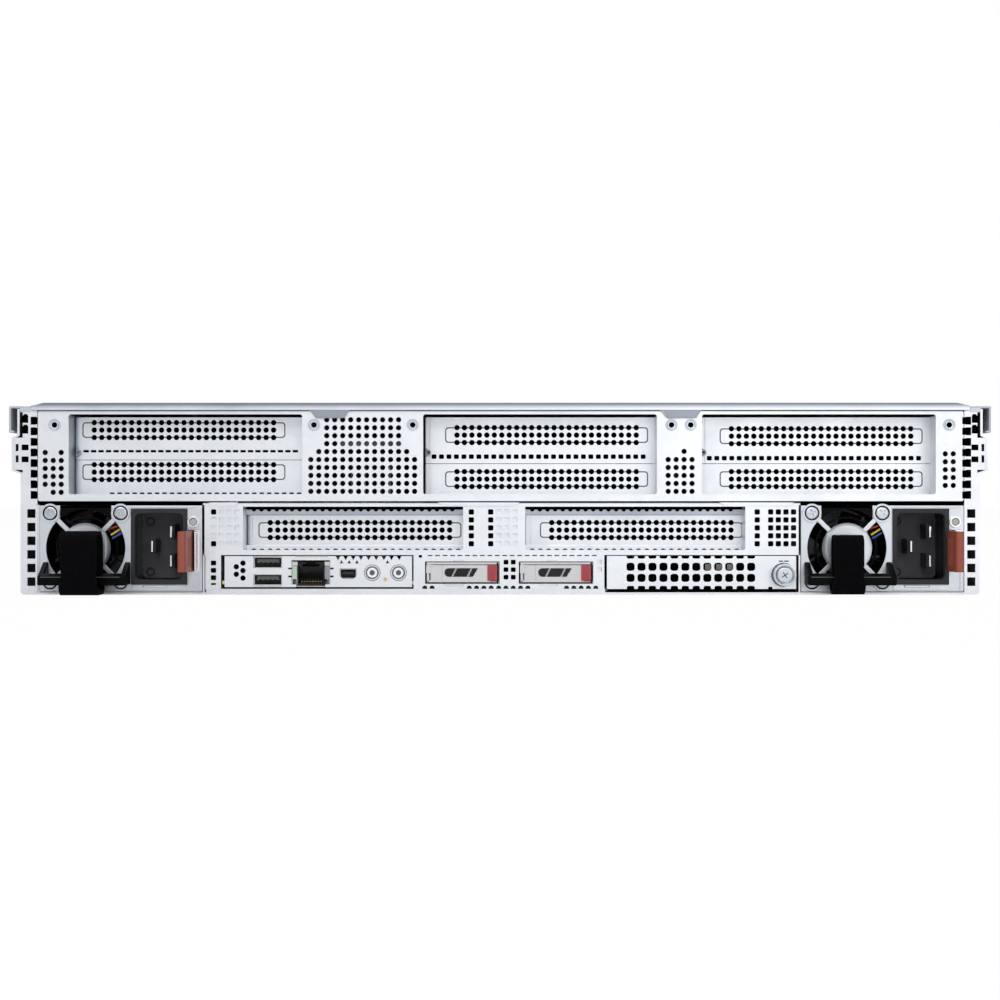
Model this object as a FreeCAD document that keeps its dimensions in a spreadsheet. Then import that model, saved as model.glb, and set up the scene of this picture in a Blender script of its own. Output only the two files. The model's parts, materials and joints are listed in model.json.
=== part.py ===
import FreeCAD, Part
import os
import re
import Sketcher

# A 2U rack server. Rear face towards -Y, front towards +Y, +Z up.
# The origin is the middle of the underside. Sizes are millimetres.

DOC = FreeCAD.newDocument("RackServer")
SHEET = DOC.addObject("Spreadsheet::Sheet", "Sizes")

SIZES = {
    # sheet-metal chassis
    "chassis_w": (434, "width over the lower side walls"),
    "chassis_d": (736, "depth from rear plane to front plane"),
    "side_top": (84, "height of the side walls"),
    "wall": (1, "sheet thickness"),
    "bead_out": (4, "how far the side bead stands out"),
    "bead_low": (54.6, "where the side bead starts"),
    "bead_high": (72.4, "where the side bead ends"),
    "bead_slope": (1.4, "height of the slope into the bead"),
    "upper_out": (1.4, "how far the wall above the bead stands out"),
    "fit": (0.3, "gap between pieces that come apart"),
    "lip_top": (2.6, "top of the rear bottom lip"),
    # rear columns
    "column_split": (42.3, "height where the upper rear wall starts"),
    "lower_slot_w": (3.7, "lower column vent width"),
    "lower_slot_h": (3.9, "lower column vent height"),
    "lower_slot_z": (3.9, "height of the lowest lower column vent"),
    "lower_slot_pitch": (6.17, "lower column vent pitch"),
    "upper_slot_w": (2.5, "upper column vent width"),
    "upper_slot_h": (3.6, "upper column vent height"),
    "upper_slot_z": (43.3, "height of the lowest upper column vent"),
    "upper_slot_pitch": (4.8, "upper column vent pitch"),
    "outer_slot_w": (1.8, "outer column vent width"),
    "outer_slot_z": (73.3, "height of the lower outer column vent"),
    # upper rear wall and its windows
    "rear_left": (-209.1, "left edge of the upper rear wall"),
    "rear_right": (209.8, "right edge of the upper rear wall"),
    "rear_top": (83, "top of the upper rear wall"),
    "rear_chamfer": (2, "lower corner chamfer"),
    "window_low": (45.4, "sill of the riser windows"),
    "window_high": (81.6, "head of the riser windows"),
    "window_w": (105.8, "riser window width"),
    "window_round": (2, "riser window corner radius"),
    "window_a": (-195.3, "left edge of the first window"),
    "window_b": (-34.8, "left edge of the second window"),
    "window_c": (91.4, "left edge of the third window"),
    "vent": (2.45, "width of a small wall vent"),
    "vent_pitch": (3.62, "pitch of the wall vents"),
    "left_vents": (2.2, "left vents from the wall's edge"),
    "middle_vents": (9.9, "middle vents from the first window"),
    "post_vents": (3.9, "post vents from the second window"),
    "right_vents": (3.1, "right vents from the third window"),
    "rear_flange": (9, "depth of the folded top flange"),
    # expansion slot blanks
    "recess": (13, "how deep the slot blanks sit"),
    "blank_t": (0.9, "slot blank thickness"),
    "blank_h": (18.4, "slot blank height"),
    "slot_pitch": (20.3, "pitch of the expansion slots"),
    "slot_top": (78, "top edge of the upper slot blanks"),
    "slot_top_a": (79.7, "top edge of the upper blank in the first window"),
    "slot_pitch_a": (19.3, "slot pitch in the first window"),
    "field_slots": (8, "slots in a blank's raised field"),
    "field_slot_w": (9.3, "width of a field slot"),
    "field_slot_pitch": (10.29, "pitch of the field slots"),
    "shift_a": (-2.8, "field centre right of the middle of the first window"),
    "shift_bc": (3.2, "field centre right of the middle of the other windows"),
    "low_shift": (2.9, "field centre right of the middle of the low windows"),
    "field_h": (9.3, "height over the three hole rows"),
    "field_down": (5.1, "hole field centre below the blank's top edge"),
    "emboss_w": (94, "width of the raised field"),
    "emboss_h": (10, "height of the raised field"),
    "emboss_t": (0.4, "height of the raised field above the blank"),
    "blank_tab": (9, "depth of the blank's end tab"),
    # riser cages and boards
    "cage_d": (190, "depth of a riser cage"),
    "cage_floor": (43.4, "underside of the riser cages"),
    "cage_top": (82, "top of the riser cages"),
    "board_t": (1.6, "circuit board thickness"),
    "riser_board_in": (6, "riser board distance from the cage wall"),
    "riser_board_y": (26, "rear edge of the riser boards"),
    "riser_board_end": (182, "front edge of the riser boards"),
    "riser_board_top": (80, "top of the riser boards"),
    "riser_board_cut": (7, "height of the cut corner of a riser board"),
    # lower rear frame
    "bay_wall": (0.8, "power supply bay wall thickness"),
    "strip_low": (40.6, "underside of the cross strip"),
    "strip_d": (30, "depth of the cross strip"),
    "bay_d": (190, "depth of the power supply bays"),
    "frame_low": (19.2, "lower edge of the low-profile slot frame"),
    "frame_high": (39.8, "upper edge of the low-profile slot frame"),
    "low_window_low": (20.2, "sill of the low-profile windows"),
    "low_window_high": (38.4, "head of the low-profile windows"),
    "low_window_a": (-116.3, "left edge of the first low-profile window"),
    "low_window_b": (11.4, "left edge of the second low-profile window"),
    "low_window_w": (99.6, "low-profile window width"),
    "low_field_down": (9.4, "low-profile field centre below the top edge"),
    "shelf_low": (17.9, "underside of the shelf strip"),
    "shelf_d": (14, "depth of the shelf strip"),
    "block_vent": (2.4, "size of a vent in the vent blocks"),
    "block_pitch": (3.55, "pitch of the vents in the vent blocks"),
    "block_low": (2.4, "lowest block vent above the frame's edge"),
    "block_a": (3.7, "first vent block from the frame's left edge"),
    "block_b": (11.3, "second vent block from the first low window"),
    "block_c": (10.3, "third vent block from the second low window"),
    "post_vent": (2.5, "post vents from a low window"),
    # power supplies
    "psu_w": (73.5, "power supply width"),
    "psu_h": (39, "power supply height"),
    "psu_d": (185, "power supply depth"),
    "psu_z": (1.3, "underside of a power supply"),
    "psu_left": (-208.3, "left edge of the left power supply"),
    "psu_right": (136.2, "left edge of the right power supply"),
    "psu_t": (0.8, "power supply sheet thickness"),
    "fan_x": (20.8, "fan centre from the supply's left edge"),
    "fan_z": (19.8, "fan centre above the supply's underside"),
    "fan_r": (18.1, "radius of the fan opening"),
    "fan_hub_r": (10.3, "radius of the guard's hub disc"),
    "spoke_w": (2, "width of a guard spoke"),
    "fan_notch": (23, "width of the notch above the fan opening"),
    "frame_w": (38.4, "width of the fan's plastic frame"),
    "frame_h": (36.2, "height of the fan's plastic frame"),
    "frame_d": (20, "depth of the fan's plastic frame"),
    "motor_plate": (3, "thickness of the fan's motor plate"),
    "bore_step": (0.6, "how much smaller the plastic bore is than the guard's"),
    "rotor_hub_r": (9.5, "rotor hub radius"),
    "rotor_d": (11, "rotor depth"),
    "tip_gap": (0.8, "gap from blade tip to fan frame"),
    "inlet_x": (41.4, "inlet flange from the supply's left edge"),
    "inlet_z": (3.2, "inlet flange above the supply's underside"),
    "inlet_w": (25.4, "inlet flange width"),
    "inlet_h": (34.4, "inlet flange height"),
    "inlet_rim": (1.9, "inlet wall around the socket"),
    "inlet_out": (1.2, "how far the inlet flange stands out"),
    "inlet_in": (22, "depth of the inlet behind the panel"),
    "socket_deep": (20, "depth of the inlet socket"),
    "socket_r": (1.9, "corner radius of the inlet socket"),
    "pin_t": (2, "inlet pin thickness"),
    "pin_h": (6.4, "inlet pin height"),
    "pin_l": (16.5, "inlet pin length"),
    "earth_x": (9, "earth pin from the flange edge"),
    "line_x": (17.6, "line and neutral pins from the flange edge"),
    "line_dz": (6.6, "line and neutral pins above and below the middle"),
    "latch_x": (65.5, "latch grip from the supply's left edge"),
    "latch_w": (3.8, "latch grip width"),
    "latch_stem": (1.4, "latch stem thickness"),
    "latch_z": (9.5, "latch above the supply's underside"),
    "latch_h": (18, "latch height"),
    "latch_out": (21, "how far the latch stands out"),
    "latch_in": (10, "how far the latch stem reaches in"),
    "latch_grip_back": (3, "gap behind the latch grip"),
    "latch_play": (0.7, "room beside the latch stem"),
    "handle_x": (1.5, "handle from the supply's left edge"),
    "handle_w": (39.6, "handle width"),
    "handle_z": (3.3, "underside of the handle"),
    "handle_bar_h": (5, "handle bar height"),
    "handle_bar_t": (3, "handle bar thickness"),
    "handle_out": (12, "how far the handle stands out"),
    "handle_arm": (2.6, "handle arm thickness"),
    "handle_arm_top": (13.6, "top of the handle arms"),
    "handle_slope": (2, "depth of the slope along the handle bar"),
    "handle_edge": (0.8, "height of the slope along the handle bar"),
    "strap_w": (13.4, "strap width"),
    "strap_t": (1.5, "strap thickness"),
    "strap_foot_r": (4.4, "radius of a strap's bends under the handle"),
    "strap_z": (0.6, "lowest point of a strap above the floor"),
    "strap_back": (7, "back of a strap behind the rear plane"),
    "loose_strap_x": (15.6, "loose strap from the supply's left edge"),
    "loose_strap_h": (28.4, "height of the loose strap loop"),
    "loose_strap_d": (17, "depth of the loose strap loop"),
    "loose_strap_r": (6.6, "bend radius at the top of the loose strap loop"),
    "snug_strap_x": (12.4, "snug strap from the supply's left edge"),
    "snug_strap_h": (26.6, "height of the snug strap loop"),
    "snug_strap_d": (9.4, "depth of the snug strap loop"),
    "snug_strap_r": (3.6, "bend radius at the top of the snug strap loop"),
    # input and output panel
    "panel_t": (1, "lower panel thickness"),
    "panel_low": (3, "lower edge of the lower panels"),
    "panel_high": (17.5, "upper edge of the lower panels"),
    "panel_vent_z": (6, "lowest vents of the lower panels"),
    "side_vent": (2.1, "side vents from the panel's left edge"),
    "port_vent": (9.4, "vents left of the USB sockets"),
    "io_left": (-133, "left edge of the input and output panel"),
    "io_right": (-40.2, "right edge of the input and output panel"),
    "usb_x": (-111.3, "left edge of the USB sockets"),
    "usb_w": (12.7, "USB socket width"),
    "usb_h": (4.9, "USB socket height"),
    "usb_low": (4.2, "lower USB socket height above the underside"),
    "usb_pitch": (7.8, "pitch of the stacked USB sockets"),
    "port_d": (17, "depth of the port bodies"),
    "port_t": (0.6, "port shell thickness"),
    "port_back": (3, "port back wall, and how deep a tongue sits"),
    "net_x": (-94.7, "left edge of the network jack"),
    "net_w": (18.1, "network jack width"),
    "net_h": (13.6, "network jack height"),
    "net_mouth_w": (11.9, "network jack mouth width"),
    "net_mouth_h": (8.6, "network jack mouth height"),
    "net_key_w": (6.2, "network jack keyway width"),
    "net_key_h": (2.6, "network jack keyway height"),
    "net_deep": (13, "network jack mouth depth"),
    "net_low": (3.4, "network jack height above the underside"),
    "net_floor": (0.8, "network jack shell under the mouth"),
    "display_x": (-72.5, "left edge of the display socket"),
    "display_w": (7.8, "display socket width"),
    "display_low": (7.1, "display socket height above the underside"),
    "display_h": (4.6, "display socket height"),
    "button_r": (2.3, "rear button radius"),
    "button_z": (9.9, "rear button height"),
    "id_x": (-57.8, "identification button position"),
    "reset_x": (-45.9, "reset button position"),
    "button_out": (0.8, "how far a rear button stands out"),
    "button_flange": (0.8, "width of a button's retaining flange"),
    "button_play": (0.3, "gap between a pressed button's flange and its panel"),
    "button_travel": (1, "rear button travel"),
    # boot drives
    "boot_left": (-39.8, "left edge of the boot-drive panel"),
    "boot_right": (47.6, "right edge of the boot-drive panel"),
    "boot_bay_a": (-33.9, "left edge of the first boot bay"),
    "boot_bay_b": (8.5, "left edge of the second boot bay"),
    "boot_bay_w": (33.7, "boot bay width"),
    "boot_bay_low": (4.7, "boot bay height above the underside"),
    "boot_bay_h": (10.2, "boot bay height"),
    "boot_bay_d": (96, "boot bay depth"),
    "boot_bay_t": (0.7, "boot bay wall thickness"),
    "boot_vent": (1.4, "middle vents from the first boot bay"),
    "top_slit_x": (3, "first top slit from the panel's edge"),
    "top_slit_w": (9.2, "width of a top slit"),
    "top_slit_h": (0.7, "height of a top slit"),
    "boot_tray_d": (92, "boot carrier depth"),
    "boot_face_d": (6, "boot carrier face depth"),
    "tray_wall": (1.6, "boot carrier tray thickness"),
    "tray_down": (1, "boot carrier tray below its face's top"),
    "boot_out": (0.4, "how far the boot carrier stands out"),
    "lever_t": (1.8, "boot lever thickness"),
    "lever_h": (7.1, "boot lever height"),
    "lever_in": (2.2, "boot lever from the carrier's left edge"),
    "lever_w": (22, "boot lever length"),
    "release_w": (4.4, "boot release width"),
    "release_gap": (1.9, "room for the boot release to travel"),
    "release_out": (0.4, "how far the boot release stands proud of its lever"),
    "lever_end_t": (0.8, "thickness of the lever's end under the release"),
    # network card
    "card_left": (47.9, "left edge of the network card panel"),
    "card_right": (134.2, "right edge of the network card panel"),
    "card_low": (1.8, "lower edge of the network card panel"),
    "card_vent": (3.65, "network card vent size"),
    "card_pitch": (4.96, "network card vent pitch"),
    "card_vent_x": (57.2, "left edge of the first card vent"),
    "card_vent_z": (5.6, "lower edge of the lower card vents"),
    "card_columns": (12, "card vents in a row"),
    "card_board_z": (5, "underside of the network card board"),
    "card_board_d": (110, "network card board depth"),
    "card_board_in": (3, "network card board from the panel's left edge"),
    "card_board_off": (9, "network card board corner cuts, and its distance from the screw"),
    "card_chip": (24, "network card heatsink size"),
    "card_chip_h": (5, "network card heatsink height"),
    "screw_x": (128.1, "thumbscrew position"),
    "screw_z": (9, "thumbscrew height"),
    "screw_r": (5, "thumbscrew head radius"),
    "screw_shank_r": (1.9, "thumbscrew shank radius"),
    "screw_out": (7, "how far the thumbscrew stands out"),
    "screw_neck": (1, "gap between the thumbscrew head and the panel"),
    "screw_in": (7, "how far the thumbscrew reaches in"),
    # lid
    "lid_w": (444.4, "width over the lid's side flanges"),
    "lid_top": (86.8, "height of the lid's crown"),
    "lid_drop": (1.5, "how far the lid's margin lies below its crown"),
    "lid_crown": (412, "width of the lid's crown"),
    "lid_step": (6, "width of the slope beside the crown"),
    "lid_t": (1, "lid thickness"),
    "lid_side_low": (73.2, "lower edge of the lid's side flanges"),
    "hook_w": (2.4, "width of the lid's side hooks"),
    "front_deck": (36, "depth of the fixed deck at the front"),
    "lid_lip_low": (83.3, "lower edge of the lid's rear lip"),
    "tongue_low": (79.8, "lower edge of the lid's tongues"),
    "tongue_a": (-86.1, "left end of the first tongue"),
    "tongue_b": (72.6, "left end of the second tongue"),
    "tongue_w": (18.2, "tongue width"),
    "tongue_slant": (3, "slant of the tongue's ends"),
    "pan_y": (300, "lid latch recess from the rear plane"),
    "pan_w": (92, "lid latch recess width"),
    "pan_l": (70, "lid latch recess length"),
    "pan_deep": (8, "lid latch recess depth"),
    "pan_r": (8, "lid latch recess corner radius"),
    "lever_gap": (2, "gap around the lid latch lever"),
    "lid_lever_t": (4, "lid latch lever thickness"),
    "lid_lever_grip": (24, "lid latch finger gap"),
    "lever_down": (0.4, "how far the lid latch lever lies below the lid"),
    "lever_foot": (2.8, "lid latch lever foot size and distance from its end"),
    # boards and cooling
    "main_z": (1.5, "underside of the mainboard"),
    "main_w": (410, "mainboard width"),
    "main_tail_w": (264, "width of the mainboard's rear tail"),
    "main_tail_y": (2, "rear edge of the tail"),
    "main_y": (200, "rear edge of the wide part"),
    "main_end": (462, "front edge of the mainboard"),
    "stud": (8, "standoff size and its distance from the board's edge"),
    "sink_w": (78, "heatsink width"),
    "sink_l": (108, "heatsink length"),
    "sink_h": (62, "heatsink height"),
    "sink_base": (8, "heatsink base thickness"),
    "sink_fins": (11, "number of heatsink fins"),
    "fin_t": (1.4, "heatsink fin thickness"),
    "sink_x": (105, "heatsink distance from the middle"),
    "sink_y": (308, "rear edge of the heatsinks"),
    "dimm_l": (133.35, "memory module length"),
    "dimm_h": (31, "memory module height"),
    "dimm_t": (4, "memory module thickness"),
    "dimm_pitch": (8.4, "memory module pitch"),
    "dimm_count": (6, "memory modules in a bank"),
    "dimm_y": (296, "rear end of the memory modules"),
    "dimm_inner": (10, "inner memory bank from the middle"),
    "dimm_outer": (152, "outer memory bank from the middle"),
    "shroud_y": (270, "rear edge of the air shroud"),
    "shroud_l": (180, "length of the air shroud"),
    "shroud_top": (72, "top of the air shroud"),
    "shroud_t": (1.6, "air shroud thickness"),
    "fans_y": (486, "rear face of the fan wall"),
    "fans_d": (38, "depth of the fan wall"),
    "fans_h": (79, "height of the fan wall"),
    "fans_w": (426, "width of the fan wall"),
    "big_fan_pitch": (104, "pitch of the system fans"),
    "big_fan_r": (37.5, "radius of the system fan openings"),
    "big_hub_r": (17, "radius of the system fan hubs"),
    "big_strut": (4, "system fan strut width"),
    "big_strut_d": (4, "system fan strut depth"),
    "big_rotor_d": (26, "system fan rotor depth"),
    "blades": (5, "blades on a rotor"),
    "blade_t": (1.2, "blade thickness"),
    "blade_pitch": (50, "blade angle to the plane of the fan"),
    "blade_chord": (0.44, "half the blade's depth, as a share of the rotor's"),
    "blade_root": (0.6, "how far a blade starts inside the hub"),
    # drives at the front
    "bay_pitch": (18.6, "drive bay pitch"),
    "bay_count": (8, "number of drive bays"),
    "divider_t": (0.6, "drive bay divider thickness"),
    "cage_low": (3.6, "underside of the drive bays"),
    "drive_h": (76, "drive carrier height"),
    "drive_cage_d": (160, "drive cage depth"),
    "cage_t": (1, "drive cage sheet thickness"),
    "carrier_d": (150, "drive carrier depth"),
    "carrier_face": (9, "drive carrier face depth"),
    "carrier_out": (1.5, "how far a carrier stands out"),
    "rail_t": (2.2, "carrier rail thickness"),
    "disk_l": (100, "drive length"),
    "disk_t": (14.8, "drive thickness"),
    "drive_lever_t": (3.6, "drive lever thickness"),
    "drive_lever_h": (62, "drive lever length"),
    "drive_lever_z": (5, "drive lever above the carrier's underside"),
    "plug_w": (6, "backplane connector width"),
    "plug_low": (12, "lower end of a backplane connector"),
    "plug_high": (50, "upper end of a backplane connector"),
    "filler_d": (12, "depth of a drive bay filler"),
    "filler_out": (1, "how far a drive bay filler stands out"),
    "filler_rim": (3, "rim of a drive bay filler"),
    "face_vent": (4.2, "width of a vent in a carrier's face"),
    "face_web": (1.4, "half web between the vents of a carrier's face"),
    "lever_tip": (6, "length of the drive lever's tapered tip"),
    "intake_w": (8, "front intake slot width"),
    "intake_h": (32, "front intake slot height"),
    "intake_bar": (4, "bar between front intake slots"),
    "intake_in": (10, "front intakes from the panel's edge"),
    "intake_low": (8, "height of the lowest front intakes"),
    "intake_rows": (2, "front intake slot rows"),
    "intake_columns": (10, "front intake slot columns"),
    # rack ears
    "rack_w": (482.6, "width over the rack ears"),
    "ear_t": (2.4, "rack ear thickness"),
    "ear_side_l": (46, "length of the ear's side flange"),
    "ear_side_h": (66, "height of the ear's side flange"),
    "ear_side_z": (5, "height of the ear's side flange above the underside"),
    "ear_low": (0.4, "lower edge of a rack ear"),
    "hole_span_x": (465.1, "rack hole spacing across"),
    "hole_span_z": (76.2, "rack hole spacing up"),
    "rack_hole_r": (3.4, "rack hole radius"),
    "rack_hole_low": (5.3, "height of the lower rack holes"),
    "power_r": (4, "power button radius"),
    "power_x": (226.4, "power button distance from the middle"),
    "power_z": (58, "power button height"),
    "power_travel": (1.2, "power button travel"),
}

for row, (alias, (amount, note)) in enumerate(SIZES.items(), 1):
    SHEET.set(f"A{row}", alias)
    SHEET.set(f"B{row}", str(amount))
    SHEET.set(f"C{row}", note)
    SHEET.setAlias(f"B{row}", alias)
DOC.recompute()

WORD = re.compile(r"[a-z][a-z_0-9]*")
NODES = []


def linked(text):
    """An expression with each size name pointing at its cell."""
    return WORD.sub(lambda word: "Sizes." + word.group(0) if word.group(0) in SIZES else word.group(0), str(text))


def number(text):
    """What an expression comes to with the present sizes."""
    return float(SHEET.evalExpression(linked(text)))


def bind(thing, **properties):
    """Tie properties of an object to expressions; __ stands for a dot."""
    for name, text in properties.items():
        thing.setExpression(name.replace("__", "."), linked(text))


def place(thing, x="0", y="0", z="0"):
    """Stand a sub-part at its place, y counted from the rear plane."""
    bind(thing, Placement__Base__x=x, Placement__Base__y=f"{y} - chassis_d / 2", Placement__Base__z=z)


def keep(thing, label):
    """Note a finished sub-part under the name of its file."""
    thing.Label = label
    NODES.append(thing)
    return thing


def rect(left, right, low, high):
    """A rectangular outline from four bounds."""
    return [(left, low), (right, low), (right, high), (left, high)]


class Piece:
    """A body made from sketches on its own origin planes."""

    # plane: the sketch plane; flip: its normal points against the global axis
    PLANES = {"x": ("YZ_Plane", False), "y": ("XZ_Plane", True), "z": ("XY_Plane", False)}
    ALONG = {"x": FreeCAD.Vector(1, 0, 0), "y": FreeCAD.Vector(0, 1, 0), "z": FreeCAD.Vector(0, 0, 1)}

    def __init__(self, name, x="0", y="0", z="0"):
        self.name = name
        self.body = DOC.addObject("PartDesign::Body", name)
        place(self.body, x, y, z)

    def sketch(self, name, axis, at, loops, turn=0, centre=("0", "0")):
        """A sketch square to an axis; loops are corner lists or (u, v, radius) circles."""
        role, flip = self.PLANES[axis]
        plane = [part for part in self.body.Origin.OriginFeatures if part.Role == role][0]
        sketch = self.body.newObject("Sketcher::SketchObject", name)
        sketch.AttachmentSupport = (plane, [""])
        sketch.MapMode = "FlatFace"
        if turn:
            sketch.AttachmentOffset = FreeCAD.Placement(
                FreeCAD.Vector(), FreeCAD.Rotation(FreeCAD.Vector(0, 0, 1), turn))
        bind(sketch, AttachmentOffset__Base__x=centre[0], AttachmentOffset__Base__y=centre[1],
             AttachmentOffset__Base__z=f"-({at})" if flip else at)
        for loop in loops:
            if isinstance(loop, tuple):
                self.circle(sketch, *loop)
            else:
                self.polygon(sketch, loop)
        return sketch

    def hold(self, sketch, geometry, point, u, v):
        """Fix a point of a sketch at two expressions."""
        for kind, text in (("DistanceX", u), ("DistanceY", v)):
            index = sketch.addConstraint(Sketcher.Constraint(kind, -1, 1, geometry, point, number(text)))
            sketch.setExpression(f"Constraints[{index}]", linked(text))

    def polygon(self, sketch, corners):
        """A closed run of straight lines through the corners."""
        points = [FreeCAD.Vector(number(u), number(v), 0) for u, v in corners]
        sides = [sketch.addGeometry(Part.LineSegment(start, end))
                 for start, end in zip(points, points[1:] + points[:1])]
        for side, following in zip(sides, sides[1:] + sides[:1]):
            sketch.addConstraint(Sketcher.Constraint("Coincident", side, 2, following, 1))
        for side, (u, v) in zip(sides, corners):
            self.hold(sketch, side, 1, u, v)

    def circle(self, sketch, u, v, radius):
        """A circle about a point."""
        centre = FreeCAD.Vector(number(u), number(v), 0)
        index = sketch.addGeometry(Part.Circle(centre, FreeCAD.Vector(0, 0, 1), number(radius)))
        self.hold(sketch, index, 3, u, v)
        size = sketch.addConstraint(Sketcher.Constraint("Radius", index, number(radius)))
        sketch.setExpression(f"Constraints[{size}]", linked(radius))

    def pad(self, name, axis, start, end, loops, **place_at):
        """Add material between two positions along an axis."""
        sketch = self.sketch(name + "Sketch", axis, start, loops, **place_at)
        feature = self.body.newObject("PartDesign::Pad", name)
        feature.Profile = sketch
        feature.Reversed = self.PLANES[axis][1]
        bind(feature, Length=f"({end}) - ({start})")
        DOC.recompute()
        return feature

    def pocket(self, name, axis, start, end, loops, **place_at):
        """Cut away material between two positions along an axis."""
        before = self.body.Shape.Volume
        sketch = self.sketch(name + "Sketch", axis, start, loops, **place_at)
        feature = self.body.newObject("PartDesign::Pocket", name)
        feature.Profile = sketch
        feature.Reversed = not self.PLANES[axis][1]
        bind(feature, Length=f"({end}) - ({start})")
        DOC.recompute()
        if self.body.Shape.Volume > before - 1e-6:
            raise RuntimeError(f"{self.name}: {name} cuts nothing")
        return feature

    def grid(self, feature, columns="1", pitch="1", rows="1", row_pitch="1"):
        """Repeat a feature along its sketch's two axes."""
        sketch = feature.Profile[0]
        many = self.body.newObject("PartDesign::MultiTransform", feature.Name + "Grid")
        many.Originals = [feature]
        steps = []
        for direction, count, step in (("H_Axis", columns, pitch), ("V_Axis", rows, row_pitch)):
            if number(count) < 2:
                continue
            line = DOC.addObject("PartDesign::LinearPattern", feature.Name + "Row")
            self.body.addObject(line)
            line.Direction = (sketch, [direction])
            line.Mode = "Spacing"
            bind(line, Offset=step, Occurrences=count)
            steps.append(line)
        many.Transformations = steps
        self.body.Tip = many
        DOC.recompute()
        return many

    def round_edges(self, name, axis, radius, corners):
        """Round the straight edges that run along an axis through the given corners."""
        others = {"x": (1, 2), "y": (0, 2), "z": (0, 1)}[axis]
        wanted = [(number(u), number(v)) for u, v in corners]
        solid = self.body.Tip
        names = []
        for index, edge in enumerate(solid.Shape.Edges, 1):
            run = edge.Vertexes[-1].Point - edge.Vertexes[0].Point
            if run.Length < 1e-6 or abs(run.normalize() * self.ALONG[axis]) < 0.999:
                continue
            spot = edge.Vertexes[0].Point
            if any(abs(spot[others[0]] - u) + abs(spot[others[1]] - v) < 1e-4 for u, v in wanted):
                names.append(f"Edge{index}")
        fillet = self.body.newObject("PartDesign::Fillet", name)
        fillet.Base = (solid, names)
        bind(fillet, Radius=radius)
        DOC.recompute()
        return fillet

    def done(self, label=None):
        """Finish the body as a node."""
        return keep(self.body, label or self.name)


def group(label, pieces):
    """Separate alike solids that share one node."""
    bundle = DOC.addObject("Part::Compound", label)
    bundle.Links = [piece.body for piece in pieces]
    DOC.recompute()
    return keep(bundle, label)


def chassis_tray():
    """Folded tray: floor, beaded side walls, rear columns and bottom lip."""
    half = "chassis_w / 2"
    upper = f"{half} + upper_out"
    bead = f"{half} + bead_out"
    outer = [(half, "0"), (half, "bead_low"), (bead, "bead_low + bead_slope"),
             (bead, "bead_high - bead_slope"), (upper, "bead_high"), (upper, "side_top")]
    inner = [(f"{upper} - wall", "side_top"), (f"{upper} - wall", "bead_high - wall / 2"),
             (f"{bead} - wall", "bead_high - bead_slope - wall / 2"),
             (f"{bead} - wall", "bead_low + bead_slope + wall / 2"),
             (f"{half} - wall", "bead_low + wall / 2"), (f"{half} - wall", "wall")]
    mirrored = [(f"-({u})", v) for u, v in reversed(outer + inner)]
    tray = Piece("chassis_tray")
    tray.pad("Folded", "y", "0", "chassis_d", [outer + inner + mirrored])
    tray.round_edges("BottomBend", "y", "wall * 1.6", [(half, "0"), (f"-({half})", "0")])
    inside = f"{half} - wall"
    left_edge = "psu_left - 3.5 * fit"
    right_edge = "psu_right + psu_w + 1.4 * fit"
    tray.pad("LeftColumn", "y", "0", "wall", [rect(f"-({inside})", left_edge, "wall", "side_top - fit")])
    tray.pad("RightColumn", "y", "0", "wall", [rect(right_edge, inside, "wall", "side_top - fit")])
    tray.pad("Lip", "y", "0", "wall", [rect("io_left", "boot_right", "wall", "lip_top")])
    columns = (("Left", "rear_left - 4.8", "rear_left - 3.3", "rear_left - 6.5"),
               ("Right", "rear_right + 1.6", "rear_right + 0.9", "rear_right + 4"))
    for side, low_left, high_left, outer_left in columns:
        for level, left, rows in (("lower", low_left, "6"), ("upper", high_left, "8")):
            slot = tray.pocket(side + level, "y", "0", "wall",
                               [rect(left, f"{left} + {level}_slot_w", f"{level}_slot_z",
                                     f"{level}_slot_z + {level}_slot_h")])
            tray.grid(slot, rows=rows, row_pitch=f"{level}_slot_pitch")
        slot = tray.pocket(side + "Outer", "y", "0", "wall",
                           [rect(outer_left, f"{outer_left} + outer_slot_w", "outer_slot_z",
                                 "outer_slot_z + upper_slot_h")])
        tray.grid(slot, rows="2", row_pitch="upper_slot_pitch")
    return tray.done()


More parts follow.
